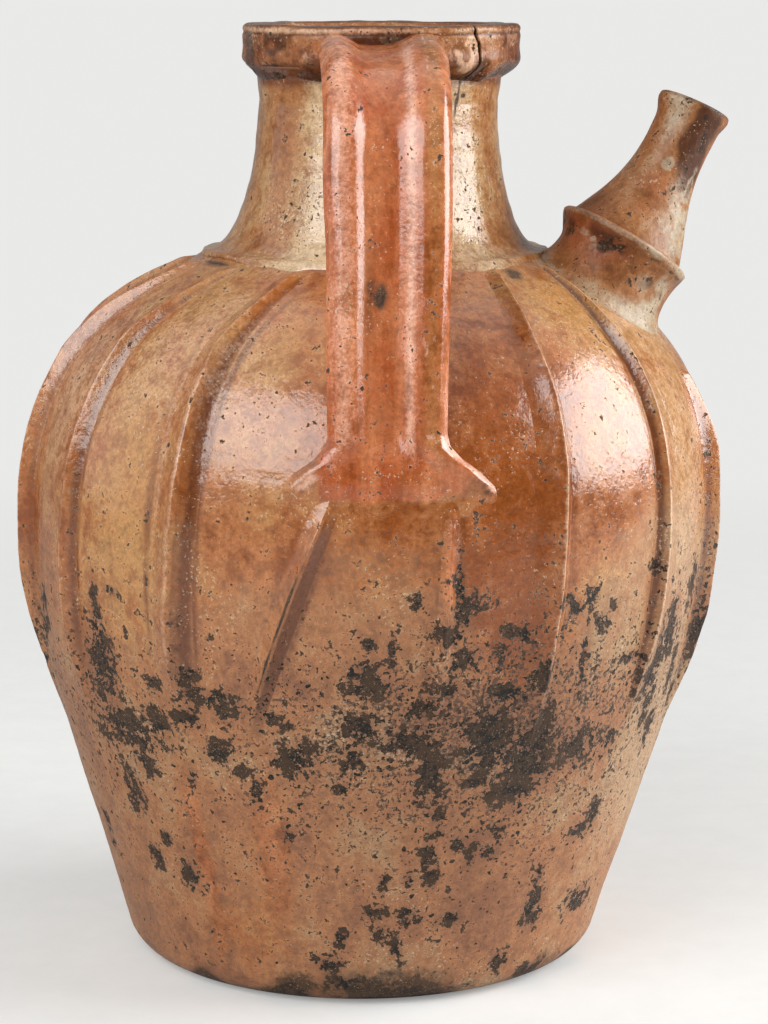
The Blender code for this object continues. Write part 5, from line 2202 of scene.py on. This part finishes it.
@dataclass
class Studio:
    """Pale sweep, two large soft boxes, and the camera at the photograph's view."""

    camera_distance: float = 1.12
    camera_height: float = 0.3745
    camera_shift: float = 0.0087
    camera_turn: float = math.radians(-3.0)
    camera_pitch: float = math.radians(10.55)
    lens: float = 105.05
    sensor: float = 36.0
    sweep_colour: str = "C9C9C7"
    sweep_forward: float = 0.9
    sweep_half_width: float = 4.0
    below_foot: float = 0.0002
    paper_glow: float = 0.24
    left_glow: float = 0.16
    plain_from: float = 0.35
    plain_by: float = 1.05
    backdrop: float = 0.82
    ambient: float = 0.26
    mirror_way: tuple[float, float, float] = (-0.50, 1.0, 0.50)
    mirror_dark: float = 0.10
    mirror_pale: float = 1.15
    boxes: tuple[SoftBox, ...] = (
        SoftBox("box_right", 86.0, 21.0, 1.25, 1.05, 0.85, 21.5),
        SoftBox("box_left", -41.0, 32.0, 1.30, 1.05, 0.90, 14.0),
    )

    def build_camera(self) -> None:
        """Camera in front of the handle, looking a little down."""
        data = bpy.data.cameras.new("camera")
        data.lens = self.lens
        data.sensor_width = self.sensor
        camera = add_object("camera", data)
        turn = Matrix.Rotation(self.camera_turn, 4, "Z")
        stand = Matrix.Translation((self.camera_shift, -self.camera_distance, self.camera_height))
        pitch = Matrix.Rotation(math.pi / 2 - self.camera_pitch, 4, "X")
        camera.matrix_world = turn @ stand @ pitch
        bpy.context.scene.camera = camera

    def paper(self) -> Material:
        """White paper, faintly clouded, that goes over into an even glow away from the pot.

        Returns:
            The material.
        """
        material = bpy.data.materials.new("paper_sweep")
        material.use_nodes = True
        tree = material.node_tree
        add = Shader(tree).add
        shader = tree.nodes["Principled BSDF"]
        place = add("TexCoord", {}, out="Object")
        seen = add("LightPath", {}, out="Is Camera Ray")
        cloth = add("TexNoise", {"Vector": place, "Scale": 45.0, "Detail": 5.0, "Roughness": 0.7})
        cloth = add("MapRange", {0: cloth, 1: 0.3, 2: 0.7, 3: 0.965, 4: 1.03})
        tint = add("VectorMath", {0: linear(self.sweep_colour)[:3], 1: cloth}, operation="MULTIPLY")
        side = add("SeparateXYZ", {0: place}, out="X")
        most = self.paper_glow + self.left_glow
        glow = add("MapRange", {0: side, 1: 0.0, 2: -0.4, 3: self.paper_glow, 4: most})
        glow = add("Math", {0: glow, 1: seen}, operation="MULTIPLY")
        away = add("VectorMath", {0: place}, out="Value", operation="LENGTH")
        plain = add("MapRange", {0: away, 1: self.plain_from, 2: self.plain_by, 3: 0.0, 4: 1.0})
        plain = add("Math", {0: plain, 1: seen}, operation="MULTIPLY")
        pale = add("Emission", {"Color": (1.0, 1.0, 0.99, 1.0), "Strength": self.backdrop})
        mixed = add("MixShader", {0: plain, 1: shader.outputs[0], 2: pale})
        shader.inputs["Roughness"].default_value = 0.9
        shader.inputs["Emission Color"].default_value = (1.0, 1.0, 0.985, 1.0)
        tree.links.new(tint, shader.inputs["Base Color"])
        tree.links.new(glow, shader.inputs["Emission Strength"])
        tree.links.new(mixed, tree.nodes["Material Output"].inputs["Surface"])
        return material

    def build_sweep(self) -> None:
        """Floor that curves up behind into a wall, as one wide grid of soft white paper."""
        wall = bezier((0.0, 0.0), (0.8, 0.0), (1.2, 0.2), (1.2, 1.0), 40)
        line = np.concatenate([[(-3.0, 0.0)], wall, [(1.2, 3.0)]])
        side = np.linspace(-self.sweep_half_width, self.sweep_half_width, 9)
        behind, height = line[:, :1] + self.sweep_forward, line[:, 1:] - self.below_foot
        skin = Skin(np.stack(np.broadcast_arrays(side, behind, height), axis=-1), wrap_across=False)
        faces = [face[::-1] for face in skin.faces()]
        mesh_object("sweep", skin.vertices(), faces, self.paper())

    def build_world(self) -> None:
        """A world that is even to the camera and, mirrored, darker toward the camera."""
        world = bpy.data.worlds.new("studio")
        bpy.context.scene.world = world
        world.use_nodes = True
        tree = world.node_tree
        add = Shader(tree).add
        way = add("TexCoord", {}, out="Generated")
        toward = add("VectorMath", {0: way, 1: self.mirror_way}, out="Value", operation="DOT_PRODUCT")
        mirrored = add("MapRange", {0: toward, 1: -0.9, 2: 0.9, 3: self.mirror_dark, 4: self.mirror_pale})
        seen = add("LightPath", {}, out="Is Camera Ray")
        glossy = add("LightPath", {}, out="Is Glossy Ray")
        glow = add("Mix", {0: seen, 1: self.ambient, 2: self.backdrop})
        glow = add("Mix", {0: glossy, 1: glow, 2: mirrored})
        background = tree.nodes["Background"]
        background.inputs["Color"].default_value = (1.0, 1.0, 1.0, 1.0)
        tree.links.new(glow, background.inputs["Strength"])

    def build(self) -> None:
        """Set up the whole studio."""
        self.build_camera()
        self.build_sweep()
        for box in self.boxes:
            box.build()
        self.build_world()
        bpy.context.scene.view_settings.view_transform = "Standard"


# Finishes of one glaze family. The neck is more olive, the strap redder, the rim and spout duller.
AMBER = GlazedEarthenware()
OLIVE = GlazedEarthenware(deep="93551F", amber="A87040", gold="BF9A69", blush="A8602F", worn_and_highlight="DCC29F")
ORANGE = GlazedEarthenware(worn_and_highlight="EDB99F", blush="AB5020", blush_pale="D18152", wave=0.40)
BROWN = GlazedEarthenware(
    deep="67361D", amber="935A35", gold="AE7A50", blush="8F4524", blush_pale="B47148", pooled_and_shaded="401F10",
    gloss=0.20, ior=1.34,
)
DRY = GlazedEarthenware(
    deep="84502A", amber="A06A3E", gold="AE9272", blush="8E4220", blush_pale="AE7048", pooled_and_shaded="42200F",
    worn_and_highlight="B3A38B", gloss=0.36, dull=0.5, ior=1.38,
)


def main() -> None:
    """Load the frame, build each class in order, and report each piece."""
    logging.basicConfig(level=logging.INFO, format="%(name)s: %(message)s")
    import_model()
    form, clay = PotForm(), Clay()
    marks = MarkMap(clay, RibLayout(form))
    for maker, finish, name in (
        (Body(form, clay, marks), AMBER, "amber_lead_glaze_body"),
        (Ribs(form, clay, marks), AMBER, "amber_lead_glaze_ribs"),
        (Neck(form, clay), OLIVE, "amber_lead_glaze_neck"),
        (RimBand(form, clay), BROWN, "brown_lead_glaze_rim"),
        (StrapHandle(form, clay), ORANGE, "orange_lead_glaze_strap"),
        (Spout(form, clay), DRY, "dry_lead_glaze_spout"),
    ):
        for piece in maker.build(finish.make(name)):
            log.info("%s: %d faces in %s", piece.name, len(piece.data.polygons), name)
    Studio().build()


if __name__ == "__main__":
    main()
